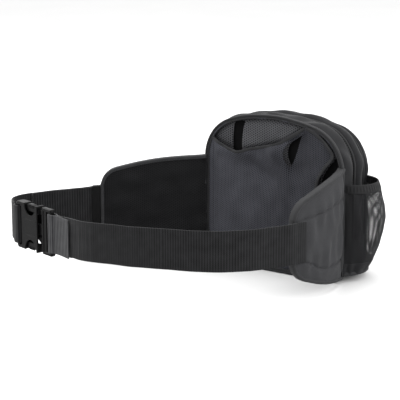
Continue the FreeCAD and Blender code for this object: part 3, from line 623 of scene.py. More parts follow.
def build_zip(name, centre, seed):
    """A coil zip: two tapes whose folded lips part over the interlocked coil."""
    tapes = Shell()
    for side in (-1, 1):
        seam, lip = centre + side * (HALF_TAPE + 0.4), centre + side * COIL_GAP
        grid = []
        for y in edge_spaced(min(seam, lip), max(seam, lip), 10):
            _, travelled = wall_point(y, "arch", 0.0)
            near_lip = math.exp(-abs(y - lip) / 1.0)
            stand = -3.6 + 2.9 * smoothstep(abs(y - seam), 0.3, 2.6) - 1.4 * near_lip
            stand = stand + 0.3 * ripple(travelled, y, 30, seed + side)
            grid.append(wall_point(y, "arch", stand)[0])
        tapes.cloth(np.array(grid), 0.9)
    lips = settle(tapes.piece(name + "_lips", ZIP_TAPE), "root", "zip_tape", f"{name}_tape")

    teeth = Shell()
    path, travelled = wall_point(centre, "arch", -2.6)
    above, _ = wall_point(centre, "arch", -1.6)
    count = int((travelled[-1] - travelled[0]) / TOOTH_PITCH)
    middles = (np.arange(count) + 0.5) * TOOTH_PITCH
    centres = along_path(path, middles)
    facing = unit(along_path(above, middles) - centres)
    alternate = np.where(np.arange(count) % 2 == 0, 1.0, -1.0)[:, None]
    inwards = np.array([[0.0, 1.0, 0.0]]) * alternate
    ahead = unit(np.cross(facing, inwards))
    teeth.scatter(*TOOTH, centres - inwards * 0.3, inwards, ahead, facing)
    settle(teeth.piece(name + "_teeth", ZIP_COIL), "root", "zip_coil", f"{name}_coil")


# ------------------------------------------------------------------ bound edges

def rounded(half_width, half_height, corner, steps=4):
    """A rounded rectangle as (x, y) points."""
    points = []
    for turn, (x, y) in enumerate(((1, 1), (-1, 1), (-1, -1), (1, -1))):
        centre = (x * (half_width - corner), y * (half_height - corner))
        points.append(arc_points(centre, corner, 90 * turn, 90 * turn + 90, steps))
    return np.concatenate(points)


def sweep(shell, path, across, up, section, closed=False):
    """A bar whose section lies on two directions at each point of a path."""
    grid = path[None] + section[:, :1, None] * across[None] + section[:, 1:, None] * up[None]
    shell.tube(grid, closed=closed)


def build_rim(name, loop, strands, seed, nodes, stitches):
    """A bound seam round a face: strands given as inset, depth, half width and half depth."""
    shell, threads = Shell(), Shell()
    flat, facing, travelled = trace(loop, "loop", count=560)
    sway = 0.3 * ripple(travelled, 0.0 * travelled, 60, seed)
    out = np.column_stack([facing[:, 0], np.zeros(len(facing)), facing[:, 1]])
    back = every(FORWARD, len(out))

    def ring(inset, y):
        middle = flat + facing * (sway - inset)[:, None]
        return np.column_stack([middle[:, 0], np.full(len(middle), y), middle[:, 1]])

    for inset, y, half_width, half_depth in strands:
        corner = 0.8 * min(half_width, half_depth)
        sweep(shell, ring(inset, y), out, back, rounded(half_width, half_depth, corner), closed=True)
    settle(shell.piece(name, BINDING), "root", "binding_tape", *nodes)
    for inset, y, side in stitches:
        path = ring(inset, y)
        stitch_line(threads, ring_closed(path), ring_closed(back) * side)
    settle(threads.piece(name + "_stitching", THREAD_LOOK), "root", "binding_tape")


# --------------------------------------------------------------------- flat panels

def inside(points, loop):
    """Which (x, z) points lie inside a closed loop."""
    x, z = points[:, 0][:, None], points[:, 1][:, None]
    start, end = loop, np.roll(loop, -1, axis=0)
    spans = (start[:, 1] > z) != (end[:, 1] > z)
    rise = np.where(np.abs(end[:, 1] - start[:, 1]) < 1e-9, 1e-9, end[:, 1] - start[:, 1])
    meets = start[:, 0] + (z - start[:, 1]) / rise * (end[:, 0] - start[:, 0])
    return (spans & (x < meets)).sum(axis=1) % 2 == 1


def distance_to(points, loop):
    """Distance from (x, z) points to a closed loop."""
    nearest = np.full(len(points), 1e9)
    for start, end in zip(loop, np.roll(loop, -1, axis=0)):
        span = end - start
        share = np.clip((points - start) @ span / max(span @ span, 1e-9), 0, 1)
        gap = np.linalg.norm(points - start - share[:, None] * span, axis=1)
        nearest = np.minimum(nearest, gap)
    return nearest


def resample(loop, spacing):
    ring = ring_closed(loop)
    total = lengths(ring)[-1]
    count = max(8, int(total / spacing))
    return along_path(ring, np.linspace(0, total, count, endpoint=False))


def build_sheet(shell, border, holes, depth, thickness, spacing=2.6):
    """A panel in x and z with holes; depth gives y, and the cloth lies behind it."""
    loops = [resample(loop, spacing) for loop in [border, *holes]]
    low, high = border.min(axis=0), border.max(axis=0)
    rows = np.arange(low[1], high[1], spacing * 0.866)
    lattice = np.array([(x + (index % 2) * spacing / 2, z) for index, z in enumerate(rows)
                        for x in np.arange(low[0], high[0], spacing)])
    keep = inside(lattice, loops[0])
    for loop in loops[1:]:
        keep &= ~inside(lattice, loop)
    lattice = lattice[keep]
    clear = np.ones(len(lattice), bool)
    for loop in loops:
        clear &= distance_to(lattice, loop) > 0.55 * spacing
    flat = np.concatenate([*loops, lattice[clear]])
    edges, start = [], 0
    for loop in loops:
        count = len(loop)
        edges += [(start + index, start + (index + 1) % count) for index in range(count)]
        start += count
    found = delaunay_2d_cdt([Vector(point) for point in flat], edges, [], 0, 1e-6)
    flat = np.array([tuple(point) for point in found[0]])
    triangles = np.array([tuple(face) for face in found[2]])
    middle = flat[triangles].mean(axis=1)
    keep = inside(middle, loops[0])
    for loop in loops[1:]:
        keep &= ~inside(middle, loop)
    triangles = triangles[keep]
    used = np.unique(triangles)
    renumber = np.full(len(flat), -1)
    renumber[used] = np.arange(len(used))
    flat, triangles = flat[used], renumber[triangles]
    y = depth(flat[:, 0], flat[:, 1])
    front = np.column_stack([flat[:, 0], y, flat[:, 1]])
    back = front + (0, thickness, 0)
    count = len(flat)
    sides = np.concatenate([triangles[:, [0, 1]], triangles[:, [1, 2]], triangles[:, [2, 0]]])
    once = {}
    for first, second in sides.tolist():
        key = (min(first, second), max(first, second))
        once[key] = None if key in once else (first, second)
    rim = [pair for pair in once.values() if pair]
    faces = triangles.tolist() + (triangles[:, ::-1] + count).tolist()
    faces += [[second, first, first + count, second + count] for first, second in rim]
    both = np.concatenate([front, back])
    cloth = both[:, [0, 2]]
    corners = [[cloth[index].tolist() for index in face] for face in faces]
    shell.raw(both, faces, corners)


def curve_through(knots, count=60):
    """A smooth line through a few points."""
    knots = np.asarray(knots, float)
    padded = np.concatenate([[2 * knots[0] - knots[1]], knots, [2 * knots[-1] - knots[-2]]])
    span = np.linspace(0, len(knots) - 1, count)
    index = np.minimum(span.astype(int), len(knots) - 2)
    t = (span - index)[:, None]
    a, b, c, d = (padded[index + shift] for shift in range(4))
    return 0.5 * (2 * b + (c - a) * t + (2 * a - 5 * b + 4 * c - d) * t ** 2
                  + (3 * b - a - 3 * c + d) * t ** 3)


MOUTH = curve_through([(-94.7, 167), (-86, 162.5), (-77.7, 158.5), (-65, 154), (-52.5, 151.4),
                       (-44, 152.5), (-36, 155.5), (-16, 160.5), (4.5, 166), (14, 169.5),
                       (22, 174.5), (34, 182), (47.5, 191.4)], 70)
FOLD_EDGE = curve_through([(46, 186), (36, 178.5), (25, 171), (20, 164), (18.5, 156), (20, 147),
                           (25, 138)], 30)
FOLD_DEEP = curve_through([(25, 138), (29.5, 147), (33, 158), (37, 170), (42, 180), (46, 186)], 24)
STRIP = curve_through([(50, 191.5), (62, 186.5), (73, 179), (82, 170), (87.5, 161), (84, 153.5),
                       (78, 146.5), (72, 137), (67.5, 127), (65, 114), (64, 98)], 60)
SLOT = np.array([(-49, 147), (-48.5, 155), (-46.5, 172), (-44, 186), (-43, 191), (-60.5, 190),
                 (-62.5, 183), (-63.5, 170), (-64, 147)], float)


def rim_between(start, end, stand):
    """The part of the rim's inner line between two angles as seen from the pack's middle."""
    loop = outline(0, 0, 0) - outward(outline(0, 0, 0)) * stand
    angle = np.degrees(np.arctan2(loop[:, 1] - 120, loop[:, 0]))
    return loop[(angle > start) & (angle < end)]


APRON_STAND = 5.4
SIDE_SEAM, SEAM_HEIGHTS = -88.0, (14, 156)


def apron_openings():
    """The apron's wide mouth, the slit of its deep fold and the gap beside its bound edge; the slit and
    the gap show the near-black painted shade sheet behind them.
    """
    mouth = np.concatenate([MOUTH, rim_between(56.8, 153.2, APRON_STAND)])
    fold = np.concatenate([FOLD_EDGE, FOLD_DEEP[1:-1]])
    ahead = headings(STRIP)
    beside = STRIP + np.stack([-ahead[:, 1], ahead[:, 0]], -1) * 1.2
    gap = np.concatenate([beside[STRIP[:, 1] < 186], rim_between(-12.5, 44.0, APRON_STAND + 0.3)])
    return mouth, fold, gap


# Where the apron is full: across, up, half width, half height and how far it stands out.
APRON_SWELLS = [(-5, 70, 75, 60, 1.6), (11, 160, 16, 17, 9.0), (-50, 152, 24, 9, 4.5),
                (-80, 152, 14, 10, 2.0)]
CREASE_START, CREASE_RUN, CREASE_DROP, CREASE_LENGTH = (-40, 144), 50, 28, 57.3


def apron_crease(x, z):
    """The pull that runs down from the apron's mouth towards its middle."""
    right, up = x - CREASE_START[0], z - CREASE_START[1]
    ahead = (right * CREASE_RUN - up * CREASE_DROP) / CREASE_LENGTH
    aside = (right * CREASE_DROP + up * CREASE_RUN) / CREASE_LENGTH
    crease = 3.0 * np.exp(-(aside / 7) ** 2) * smoothstep(ahead, -4, 12)
    return crease * (1 - smoothstep(ahead, 30, 62))


def apron_depth(x, z):
    """Where the apron's outer face lies: proud along its mouth, sunken beside its fold."""
    lift = 1.0
    for across, up, wide, tall, height in APRON_SWELLS:
        lift = lift + height * np.exp(-((x - across) / wide) ** 2 - ((z - up) / tall) ** 2)
    lift = lift - apron_crease(x, z)
    fall = smoothstep(x, 22, 28) * (1 - smoothstep(x, 34, 60)) * smoothstep(z, 116, 142)
    near_mouth = np.exp(-(distance_to(np.column_stack([x, z]), MOUTH[::2]) / 5.5) ** 2)
    lift = (lift * (1 - fall) - 3.9 * fall) * (1 - near_mouth) + np.maximum(lift, 3.5) * near_mouth
    edge = np.minimum(HALF_WIDTH - APRON_STAND - np.abs(x), z - APRON_STAND)
    lift = lift * smoothstep(edge, 0, 16)
    wrinkles = 0.8 * ripple(x, z, 50, 31) + 0.35 * ripple(x, z, 21, 35)
    lift = lift + wrinkles * smoothstep(edge, 0, 20)
    lift = lift - 1.1 * np.exp(-((x - SIDE_SEAM) / 1.3) ** 2) * (1 - smoothstep(z, 158, 166))
    return BACK_FACE - 0.6 - lift


def strip_depth(x, z):
    """Where the bound edge beside the fold lies, proud of the rim's face."""
    return np.minimum(apron_depth(x, z), BACK_FACE - 1.4) - 1.0


def hem_tape(shell, line, depth, width, thickness):
    """A folded tape along an edge of the apron."""
    path = np.column_stack([line[:, 0], depth(line[:, 0], line[:, 1]) + 0.5, line[:, 1]])
    ahead = headings(path)
    back = every(FORWARD, len(path))
    across = unit(np.cross(ahead, back))
    back = unit(np.cross(across, ahead))
    sweep(shell, path, across, back, rounded(width / 2, thickness / 2, 0.45 * thickness))


def build_back():
    """The open-mouthed apron over the spacer mesh of the back, with a near-black sheet of painted shade
    behind the mesh.
    """
    mouth, fold, gap = apron_openings()
    border = outline(0, 0, 0) - outward(outline(0, 0, 0)) * (APRON_STAND - 1.0)
    coarse = outline(0, 0, 0)[::6]

    def inner_depth(x, z):
        edge = distance_to(np.column_stack([x, z]), coarse)
        high = smoothstep(z - np.interp(x, MOUTH[:, 0], MOUTH[:, 1]), -3, 6)
        tongue = smoothstep(x, -52, -45) * (1 - smoothstep(x, 40, 60)) * high
        corner = (1 - smoothstep(x, -68, -60)) * high
        return (-34.3 + 0.4 * ripple(x, z, 40, 33) - 0.3 * smoothstep(edge, 6, 30)
                - (4.4 * tongue + 2.4 * corner) * smoothstep(edge, 2, 12))

    inner = Shell()
    # The slot, the fold and the gap are cut through the mesh so that the painted shade sheet behind
    # shows as their dark.
    build_sheet(inner, border, [SLOT, fold, gap], inner_depth, 1.4, spacing=2.8)
    mesh = settle(inner.piece("inner_back_mesh", SPACER_MESH), "root", "spacer_mesh", "back_mesh")
    # A near-black sheet behind the spacer mesh: painted shade for the deep openings of the back.
    shade = Shell()
    build_sheet(shade, border, [], lambda x, z: np.full(len(x), -32.3), 0.35, spacing=9.0)
    backing = settle(shade.piece("inner_back_painted_shade", SHADE_CLOTH), "root", "lining_fabric")

    apron = Shell()
    build_sheet(apron, border, [mouth, fold, gap], apron_depth, 1.0, spacing=2.1)
    cloth = settle(apron.piece("back_apron_cloth", APRON_CLOTH), "root", "panel_fabric",
                   "back_apron")

    folds = Shell()
    hem_tape(folds, FOLD_EDGE, apron_depth, 2.4, 2.2)
    roll = settle(folds.piece("apron_fold_roll", APRON_CLOTH), "root", "panel_fabric")
    tapes = Shell()
    hem_tape(tapes, MOUTH, apron_depth, 3.8, 1.7)
    hem_tape(tapes, STRIP, strip_depth, 4.2, 1.9)
    hems = settle(tapes.piece("apron_hem_tapes", BINDING), "root", "binding_tape")
    threads = Shell()
    up = np.linspace(*SEAM_HEIGHTS, 200)
    for shift in (-2.6, 2.6):
        across = np.full(200, SIDE_SEAM + shift)
        stitch_line(threads, np.column_stack([across, apron_depth(across, up) - 0.1, up]),
                    every(BACKWARD, 200))
    sewn = settle(threads.piece("apron_stitching", THREAD_LOOK), "root", "panel_fabric")


def build_front():
    """The front panel, crowned by what the pocket holds."""
    border = outline_at(FRONT_FACE) - outward(outline_at(FRONT_FACE)) * 0.8
    coarse = border[::4]

    def crown(x, z):
        edge = distance_to(np.column_stack([x, z]), coarse)
        wrinkles = 0.6 * ripple(x, z, 55, 41) * smoothstep(edge, 0, 25)
        return FRONT_FACE + 9.0 * (1 - np.exp(-edge / 26)) + wrinkles

    shell = Shell()
    build_sheet(shell, border, [], lambda x, z: crown(x, z) - 1.4, 1.4, spacing=3.2)
    cloth = settle(shell.piece("front_panel_cloth", SHELL_CLOTH), "root", "shell_fabric", "front_panel")
    threads = Shell()
    inner = trace(outline_at(FRONT_FACE), count=300)
    flat = inner[0] - inner[1] * 5.5
    path = np.column_stack([flat[:, 0], crown(flat[:, 0], flat[:, 1]) + 0.1, flat[:, 1]])
    stitch_line(threads, ring_closed(path), every(FORWARD, len(path) + 1))
    sewn = settle(threads.piece("front_panel_stitching", THREAD_LOOK), "root", "shell_fabric")


# ------------------------------------------------------------------ bottle pockets

BOTTLE_REAR, BOTTLE_FRONT = -34.0, 33.0
BOTTLE_FOOT, BOTTLE_RIM = 9.0, 125.0
BAND_HEIGHT = 10.0
BOTTLE_BULGE, BOTTLE_SLACK = 38.0, 1.5
NET_WIDE, NET_TALL, STRAND = 90, 115, 0.4


def bottle_surface(share, level, stand=0.0):
    """A point of the right bottle pocket: share across from rear to front, and height."""
    fullness = np.interp(level, [0.0, 0.06, 0.15, 0.3, 0.45, 0.6, 0.75, 0.88, 1.0],
                         [0.36, 0.48, 0.62, 0.81, 0.95, 1.0, 0.96, 0.84, 0.7])
    side = HALF_WIDTH - INSETS[0] + 0.3
    side_front = HALF_WIDTH - INSETS[3] + 2.7
    height = BOTTLE_FOOT + level * (BOTTLE_RIM - BOTTLE_FOOT)
    chord = np.array([side_front - side, BOTTLE_FRONT - BOTTLE_REAR])
    long = np.linalg.norm(chord)
    bulge = fullness * BOTTLE_BULGE + BOTTLE_SLACK
    radius = (long ** 2 / 4 + bulge ** 2) / (2 * bulge)
    sweep_half = 2 * np.arctan2(bulge, long / 2)
    turn = (2 * share - 1) * sweep_half
    ahead, out = chord / long, np.array([chord[1], -chord[0]]) / long
    along = long / 2 + (radius + stand) * np.sin(turn)
    proud = (radius + stand) * np.cos(turn) - radius * np.cos(sweep_half)
    x = side + ahead[0] * along + out[0] * proud
    y = BOTTLE_REAR + ahead[1] * along + out[1] * proud
    return np.stack([x, y, height], -1)


def pleats(share, level):
    """Gathers below the band and above the base seam."""
    top = np.exp(-((1 - level) / 0.22) ** 2)
    low = np.exp(-(level / 0.18) ** 2)
    wave = np.sin(share * 46 + 2.2 * np.sin(share * 9)) * (1.5 * top + 0.9 * low)
    wrinkles = 1.1 * ripple(share * 70, level * NET_TALL, 30, 51)
    return wave + wrinkles * np.sin(math.pi * share)


def flip(points, side):
    return points * np.array([side, 1, 1])


NET_TOP = 1 - (BAND_HEIGHT - 1) / (BOTTLE_RIM - BOTTLE_FOOT)
NET_COLUMNS, NET_ROWS = 42, 50
ACROSS_POCKET = np.linspace(-0.005, 1.005, 120)


def build_netting(label, side):
    """Stretch netting: six-sided cells, each a ring of thread round a real hole."""
    corner = np.radians(np.arange(6) * 60 + 30)
    ring = np.stack([np.cos(corner), np.sin(corner)], -1)
    across_step, up_step = 1 / NET_COLUMNS, NET_TOP / (NET_ROWS + 0.5)
    outer_ids, flat, faces = {}, [], []

    def outer(key):
        if key not in outer_ids:
            outer_ids[key] = len(flat)
            flat.append(key)
        return outer_ids[key]

    for row in range(NET_ROWS):
        for column in range(NET_COLUMNS):
            middle = np.array([(column + 0.5 + 0.5 * (row % 2)) * across_step,
                               (row + 0.66) * up_step])
            reach = np.array([across_step / math.sqrt(3), up_step * 0.667])
            wide = [tuple(np.round(middle + ring[k] * reach, 6)) for k in range(6)]
            edge = [outer(key) for key in wide]
            hole = []
            for key in wide:
                hole.append(len(flat))
                flat.append(tuple(middle + (np.array(key) - middle) * (1 - STRAND)))
            for k in range(6):
                faces.append([edge[k], edge[(k + 1) % 6], hole[(k + 1) % 6], hole[k]])
    plan = np.clip(np.array(flat), 0.0, [1.0, 1.0])
    points = flip(bottle_surface(plan[:, 0], plan[:, 1], pleats(plan[:, 0], plan[:, 1])), side)
    shell = Shell()
    cloth = plan * (NET_WIDE, NET_TALL)
    shell.raw(points, faces, [[cloth[index].tolist() for index in face] for face in faces])
    net = shell.piece(f"{label}_bottle_netting", NET)
    solidify = net.modifiers.new("thread", "SOLIDIFY")
    solidify.thickness = 0.45 * MM
    return settle(net, "root", "mesh_fabric", f"{label}_bottle_pocket")


def build_pocket_foot(label, side):
    """Solid cloth round the foot of the net and under it."""
    share = ACROSS_POCKET
    foot = np.array([bottle_surface(share, np.full(share.shape, level), 0.8 + pleats(share, level))
                     for level in np.linspace(0.0, 0.13, 10)])
    base = Shell()
    base.cloth(flip(foot, side), 1.1)
    rim = bottle_surface(share, np.full(share.shape, 0.012), 0.8)
    chord = rim[0] + (rim[-1] - rim[0]) * share[:, None]
    floor = np.array([chord + (rim - chord) * reach for reach in np.linspace(0.0, 1.0, 8)])
    base.cloth(flip(floor, side), 0.8)
    low_cloth = settle(base.piece(f"{label}_pocket_foot", SHELL_CLOTH), "root", "shell_fabric")


def build_pocket_band(label, side):
    """The band of ribbed elastic round the pocket's mouth."""
    share = ACROSS_POCKET
    levels = np.linspace(NET_TOP - 0.012, 1.0, 9)
    grid = np.array([bottle_surface(share, np.full(share.shape, min(level, 1.0)),
                                    0.7 + 0.35 * np.sin(share * 150) * math.sin(math.pi * index / 8))
                     for index, level in enumerate(levels)])
    band = Shell()
    band.cloth(flip(grid, side), 1.5)
    elastic = settle(band.piece(f"{label}_pocket_elastic", ELASTIC), "root", "elastic",
                     f"{label}_pocket_band")


def build_pocket_seams(label, side):
    """Bound seams up both sides of the pocket and along its foot."""
    seams = Shell()
    up = np.linspace(0.0, NET_TOP, 40)
    for share_at in (0.012, 0.988):
        line = flip(bottle_surface(np.full(40, share_at), up, np.full(40, 0.4)), side)
        out = every((side, 0.0, 0.0), 40)
        ahead = headings(line)
        sweep(seams, line, unit(np.cross(ahead, out)), out, rounded(2.6, 0.9, 0.7))
    low = flip(bottle_surface(np.linspace(0, 1, 60), np.full(60, 0.012), np.full(60, 0.5)), side)
    ahead = headings(low)
    up_axis = every(UP, 60)
    sweep(seams, low, up_axis, unit(np.cross(ahead, up_axis)), rounded(2.6, 0.9, 0.7))
    return settle(seams.piece(f"{label}_pocket_seams", BINDING), "root", "binding_tape")


def build_bottle_pocket(label, side):
    """Stretch netting under a band of elastic, with cloth at its foot."""
    net = build_netting(label, side)
    build_pocket_foot(label, side)
    build_pocket_band(label, side)
    tapes = build_pocket_seams(label, side)


# ----------------------------------------------------------------------- hip wings

WING_TALL, WING_TIP, WING_ROUND = 68.5, 24.0, 24.0
WING_FACE, EDGE_INSET = 4.5, 1.2


class Wing:
    """The curved middle of a hip wing: along it, outwards from it, and up from its middle."""

    def __init__(self, side, root, heading, length, rise, turned):
        self.side, self.root, self.length = side, np.array(root), length
        self.heading = math.radians(heading)
        self.radius = (length ** 2 / 4 + rise ** 2) / (2 * rise)
        self.centre = np.array([length / 2, rise - self.radius])
        self.turned = -1.0 if turned else 1.0
        far = np.array([length - WING_ROUND, WING_TIP - WING_TALL])
        lean = math.atan2(far[1], far[0]) + math.asin(WING_ROUND / math.hypot(*far))
        self.meets = (length - WING_ROUND - WING_ROUND * math.sin(lean),
                      WING_TIP + WING_ROUND * math.cos(lean))

    def place(self, along, outwards, up):
        along, outwards, up = np.broadcast_arrays(
            *(np.asarray(value, float) for value in (along, outwards, up)))
        turn = np.arcsin((along - self.length / 2) / self.radius)
        x = self.centre[0] + (self.radius + outwards) * np.sin(turn)
        y = (self.centre[1] + (self.radius + outwards) * np.cos(turn)) * self.turned
        cos, sin = math.cos(self.heading), math.sin(self.heading)
        return self.root + np.stack([x * cos - y * sin, x * sin + y * cos, up], -1)

    def half_height(self, along):
        along = np.asarray(along, float)
        straight = WING_TALL + (self.meets[1] - WING_TALL) * along / self.meets[0]
        over = np.clip(along - (self.length - WING_ROUND), 0, WING_ROUND)
        rounded_tip = WING_TIP + np.sqrt(WING_ROUND ** 2 - over ** 2)
        bow = 4.0 * np.sin(math.pi * np.clip(along / self.length, 0, 1)) ** 1.2
        return np.where(along > self.meets[0], rounded_tip, straight) + bow


RIGHT_WING = Wing("right", (101.0, -45.5, 76.0), -93, 102.0, 8.0, False)
LEFT_WING = Wing("left", (-104.5, -46.0, 71.0), 209, 133.0, 4.0, True)
ROOT_TUCK = 6.0


def seam_heights(wing, along):
    """The upper and lower seams that run on from the webbing's edges towards the root."""
    share = np.clip(1 - along / wing.length, 0, 1)
    upper = 26.0 + 8.0 * smoothstep(share, 0.0, 0.95)
    lower = -24.0 - 18.0 * smoothstep(share, 0.05, 0.55)
    return upper, lower


def wing_face(wing, along, share, outer):
    """A point of a wing's padded face; share runs from the bottom edge, -1, to the top, 1."""
    half = wing.half_height(along) - EDGE_INSET
    up = share * half
    upper, lower = seam_heights(wing, along)
    puff = 2.6 * (1 - np.abs(share) ** 3) * smoothstep(wing.length - along, 0, 22)
    puff = puff * (0.35 + 0.65 * smoothstep(along, -ROOT_TUCK, 22))
    if outer:
        for seam in (upper, lower):
            channel = 2.0 * np.exp(-((up - seam) / 1.6) ** 2)
            puff = puff - channel * smoothstep(wing.length - along, 4, 16)
    puff = puff + 1.3 * ripple(along, up, 25, 61 if outer else 62) * (1 - share ** 4)
    tuck = 3.5 * (1 - smoothstep(along, -ROOT_TUCK, 3))
    stand = WING_FACE - 0.6 + puff - tuck
    return wing.place(along, stand if outer else -stand, up)


def bend_with(piece, wing):
    """Bake a wing piece's transform into its mesh."""
    start = Vector(wing.place(-3.0, 0.0, 0.0) * MM)
    end = Vector(wing.place(12.0, 0.0, 0.0) * MM)
    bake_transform(piece)


def build_wing_faces(wing, along):
    """The padded cover and mesh lining of a wing."""
    name = wing.side
    columns, rows = np.meshgrid(along, np.linspace(-1, 1, 60))
    for layer, outer, material, slot in (
            ("cover", True, WING_CLOTH, "shell_fabric"), ("lining", False, WING_MESH, "spacer_mesh")):
        shell = Shell()
        grid = wing_face(wing, columns, rows, outer)
        facing = grid_normals(grid)[30, 28]
        away = wing.place(50.0, 5.0, 0.0) - wing.place(50.0, 0.0, 0.0)
        if (facing @ away > 0) != outer:
            grid = grid[::-1]
        shell.cloth(grid, 1.2)
        piece = shell.piece(f"{name}_wing_{layer}_cloth", material)
        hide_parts(f"{name}_wing_{layer}")
        bend_with(piece, wing)


def build_wing_edge(wing, along):
    """The bound edge of a wing, and the stitches of its edge and its channels."""
    name, tip = wing.side, wing.length - 0.4
    edge_along = np.concatenate([along[:-1], [tip]])
    top = np.stack([edge_along, wing.half_height(np.minimum(edge_along, wing.length)) - 0.6], -1)
    end = np.stack([np.full(12, tip), np.linspace(WING_TIP, -WING_TIP, 12)], -1)
    line = np.concatenate([top, end[1:-1], top[::-1] * (1, -1)])
    line = along_path(line, np.linspace(0, lengths(line)[-1], 240))
    path = wing.place(line[:, 0], 0.0, line[:, 1])
    outwards = unit(wing.place(line[:, 0], 1.0, line[:, 1]) - path)
    ahead = headings(path)
    across = unit(np.cross(ahead, outwards))
    shell = Shell()
    sweep(shell, path, across, outwards, rounded(2.4, WING_FACE + 0.5, 1.9))
    tape = shell.piece(f"{name}_wing_edge_tape", BINDING)
    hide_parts(f"{name}_wing_binding")
    bend_with(tape, wing)

    threads = Shell()
    seam_along = np.linspace(4.0, wing.length - 8.0, 90)
    for seam in seam_heights(wing, seam_along):
        for shift in (-1.9, 1.9):
            half = wing.half_height(seam_along) - EDGE_INSET
            height = np.clip(seam + shift, -half, half)
            points = wing_face(wing, seam_along, height / half, True)
            out = unit(wing.place(seam_along, 9.0, height) - wing.place(seam_along, 0.0, height))
            stitch_line(threads, points + out * 0.05, out)
    for turn in (-1, 1):
        ring = path + outwards * turn * (WING_FACE + 0.52)
        inward = np.sign((wing.place(50.0, 0.0, 0.0) - path[40]) @ across[40])
        stitch_line(threads, ring + across * inward * 0.9, outwards * turn)
    sewn = threads.piece(f"{name}_wing_stitching", THREAD_LOOK)
    bend_with(sewn, wing)


def build_wing(wing):
    """A wing's pieces on stations that crowd together towards its tip."""
    stations = 56
    turns = np.linspace(0, math.pi / 2, stations)
    reach = wing.length - 1.6 + ROOT_TUCK
    along = -ROOT_TUCK + reach * (0.55 * np.linspace(0, 1, stations) + 0.45 * np.sin(turns))
    build_wing_faces(wing, along)
    build_wing_edge(wing, along)


# ------------------------------------------------------------------------- webbing
# The belt's plan is a chain of arcs, each a length and how many degrees it turns.

RIGHT_RUNS = [(45, -24), (40, -30), (70, -13), (106, -9), (34, -16), (32, 0)]
LEFT_RUNS = [(100, 20), (43, 114)]
TAIL_LENGTH = 92.0
RIB_PITCH = 3.3


def belt_line(wing, bend, runs):
    """The belt's middle line from a wing's tip to the buckle, with its travel."""
    x, y, _ = wing.root + (wing.length + 0.6) * np.array(
        [math.cos(wing.heading), math.sin(wing.heading), 0.0])
    angle = wing.heading + math.radians(bend)
    points = [(x, y, angle)]
    for length, turn in runs:
        steps = max(4, math.ceil(length))
        for _ in range(steps):
            half = math.radians(turn) / steps / 2
            x += length / steps * math.cos(angle + half)
            y += length / steps * math.sin(angle + half)
            angle += 2 * half
            points.append((x, y, angle))
    line = np.array(points)
    travelled = lengths(line[:, :2])
    height = wing.root[2] + (BUCKLE_PLACE[2] - wing.root[2]) * travelled / travelled[-1]
    normal = np.stack([-np.sin(line[:, 2]), np.cos(line[:, 2]), 0 * travelled], -1)
    return np.column_stack([line[:, :2], height]), normal, travelled


def webbing_grid(shell, path, seed, width=WEBBING_WIDTH, rib=0.15, normal=None, start=0.0):
    """A ribbed strap standing on edge along a path, with firm selvedges."""
    total = lengths(path)[-1]
    distances = np.linspace(0, total, max(12, int(total / RIB_PITCH * 6)))
    line = along_path(path, distances)
    ahead = headings(line)
    up = every(UP, len(line))
    if normal is None:
        facing = unit(np.cross(up, ahead))
    else:
        facing = unit(values_at(distances, lengths(path), normal))
        up = unit(np.cross(ahead, facing))
    distances = distances + start
    sway = 0.5 * ripple(distances, 0 * distances, 90, seed)
    edge_sway = 0.25 * ripple(distances, 0 * distances, 45, seed + 1)
    ribs = rib * (np.sin(math.tau * distances / RIB_PITCH)
                  + 0.6 * ripple(distances, 0 * distances, 2.2 * RIB_PITCH, seed + 2))
    half = width / 2
    levels = np.concatenate([[-half + 0.2], np.linspace(-half + 1.3, half - 1.3, 9), [half - 0.2]])
    body = np.concatenate([[0.35], np.full(9, 0.5), [0.35]]) * WEBBING_SHEET
    firm = np.concatenate([[0.0, 0.0], np.ones(7), [0.0, 0.0]])
    rows = []
    for side in (1, -1):
        order = range(len(levels)) if side == 1 else range(len(levels) - 1, -1, -1)
        for index in order:
            level = levels[index] + edge_sway * abs(levels[index]) / half
            stand = side * (body[index] + ribs * firm[index] + 0.12 * (1 - firm[index]))
            rows.append(line + facing * (stand + sway)[:, None] + up * level[:, None])
        last = levels[-1] + 0.2 if side == 1 else levels[0] - 0.2
        rows.append(line + facing * sway[:, None] + up * (last + edge_sway)[:, None])
    shell.tube(np.array(rows))


def cross_stitch(shell, path, normal, low, high, stand):
    """Rows of stitches across the strap at two distances along it."""
    travelled = lengths(path)

    def point(distance, level):
        base = values_at(distance, travelled, path)
        out = unit(values_at(distance, travelled, normal))
        return base + out * stand + UP * np.asarray(level)[:, None], out

    reach = 20.0
    lines = [((low, -reach), (low, reach)), ((high, -reach), (high, reach)),
             ((low + 3, -reach), (low + 3, reach))]
    for start, end in lines:
        share = np.linspace(0, 1, 24)
        at = start[0] + share * (end[0] - start[0])
        points, out = point(at, start[1] + share * (end[1] - start[1]))
        stitch_line(shell, points, out, pitch=2.6)


SPLIT_AT = 165.0
LAP = 15.0
SELVEDGE_GAP = 0.35
RIGHT_SEED, LEFT_SEED = 71, 75


def lapped(wing, line, normal, stand, settle_over):
    """Carry a strap back over a wing's tip on its outer face, easing onto the belt's line."""
    back = np.linspace(wing.length - LAP, wing.length, 12)[:-1]
    over = wing.place(back, stand, 0.0)
    side = np.sign((wing.place(wing.length - 5, 5.0, 0.0) - wing.place(wing.length - 5, 0.0, 0.0))
                   @ normal[0])
    ease = 1 - smoothstep(lengths(line), 0, settle_over)
    eased = line + normal * (side * stand * ease)[:, None]
    return np.concatenate([over, eased])


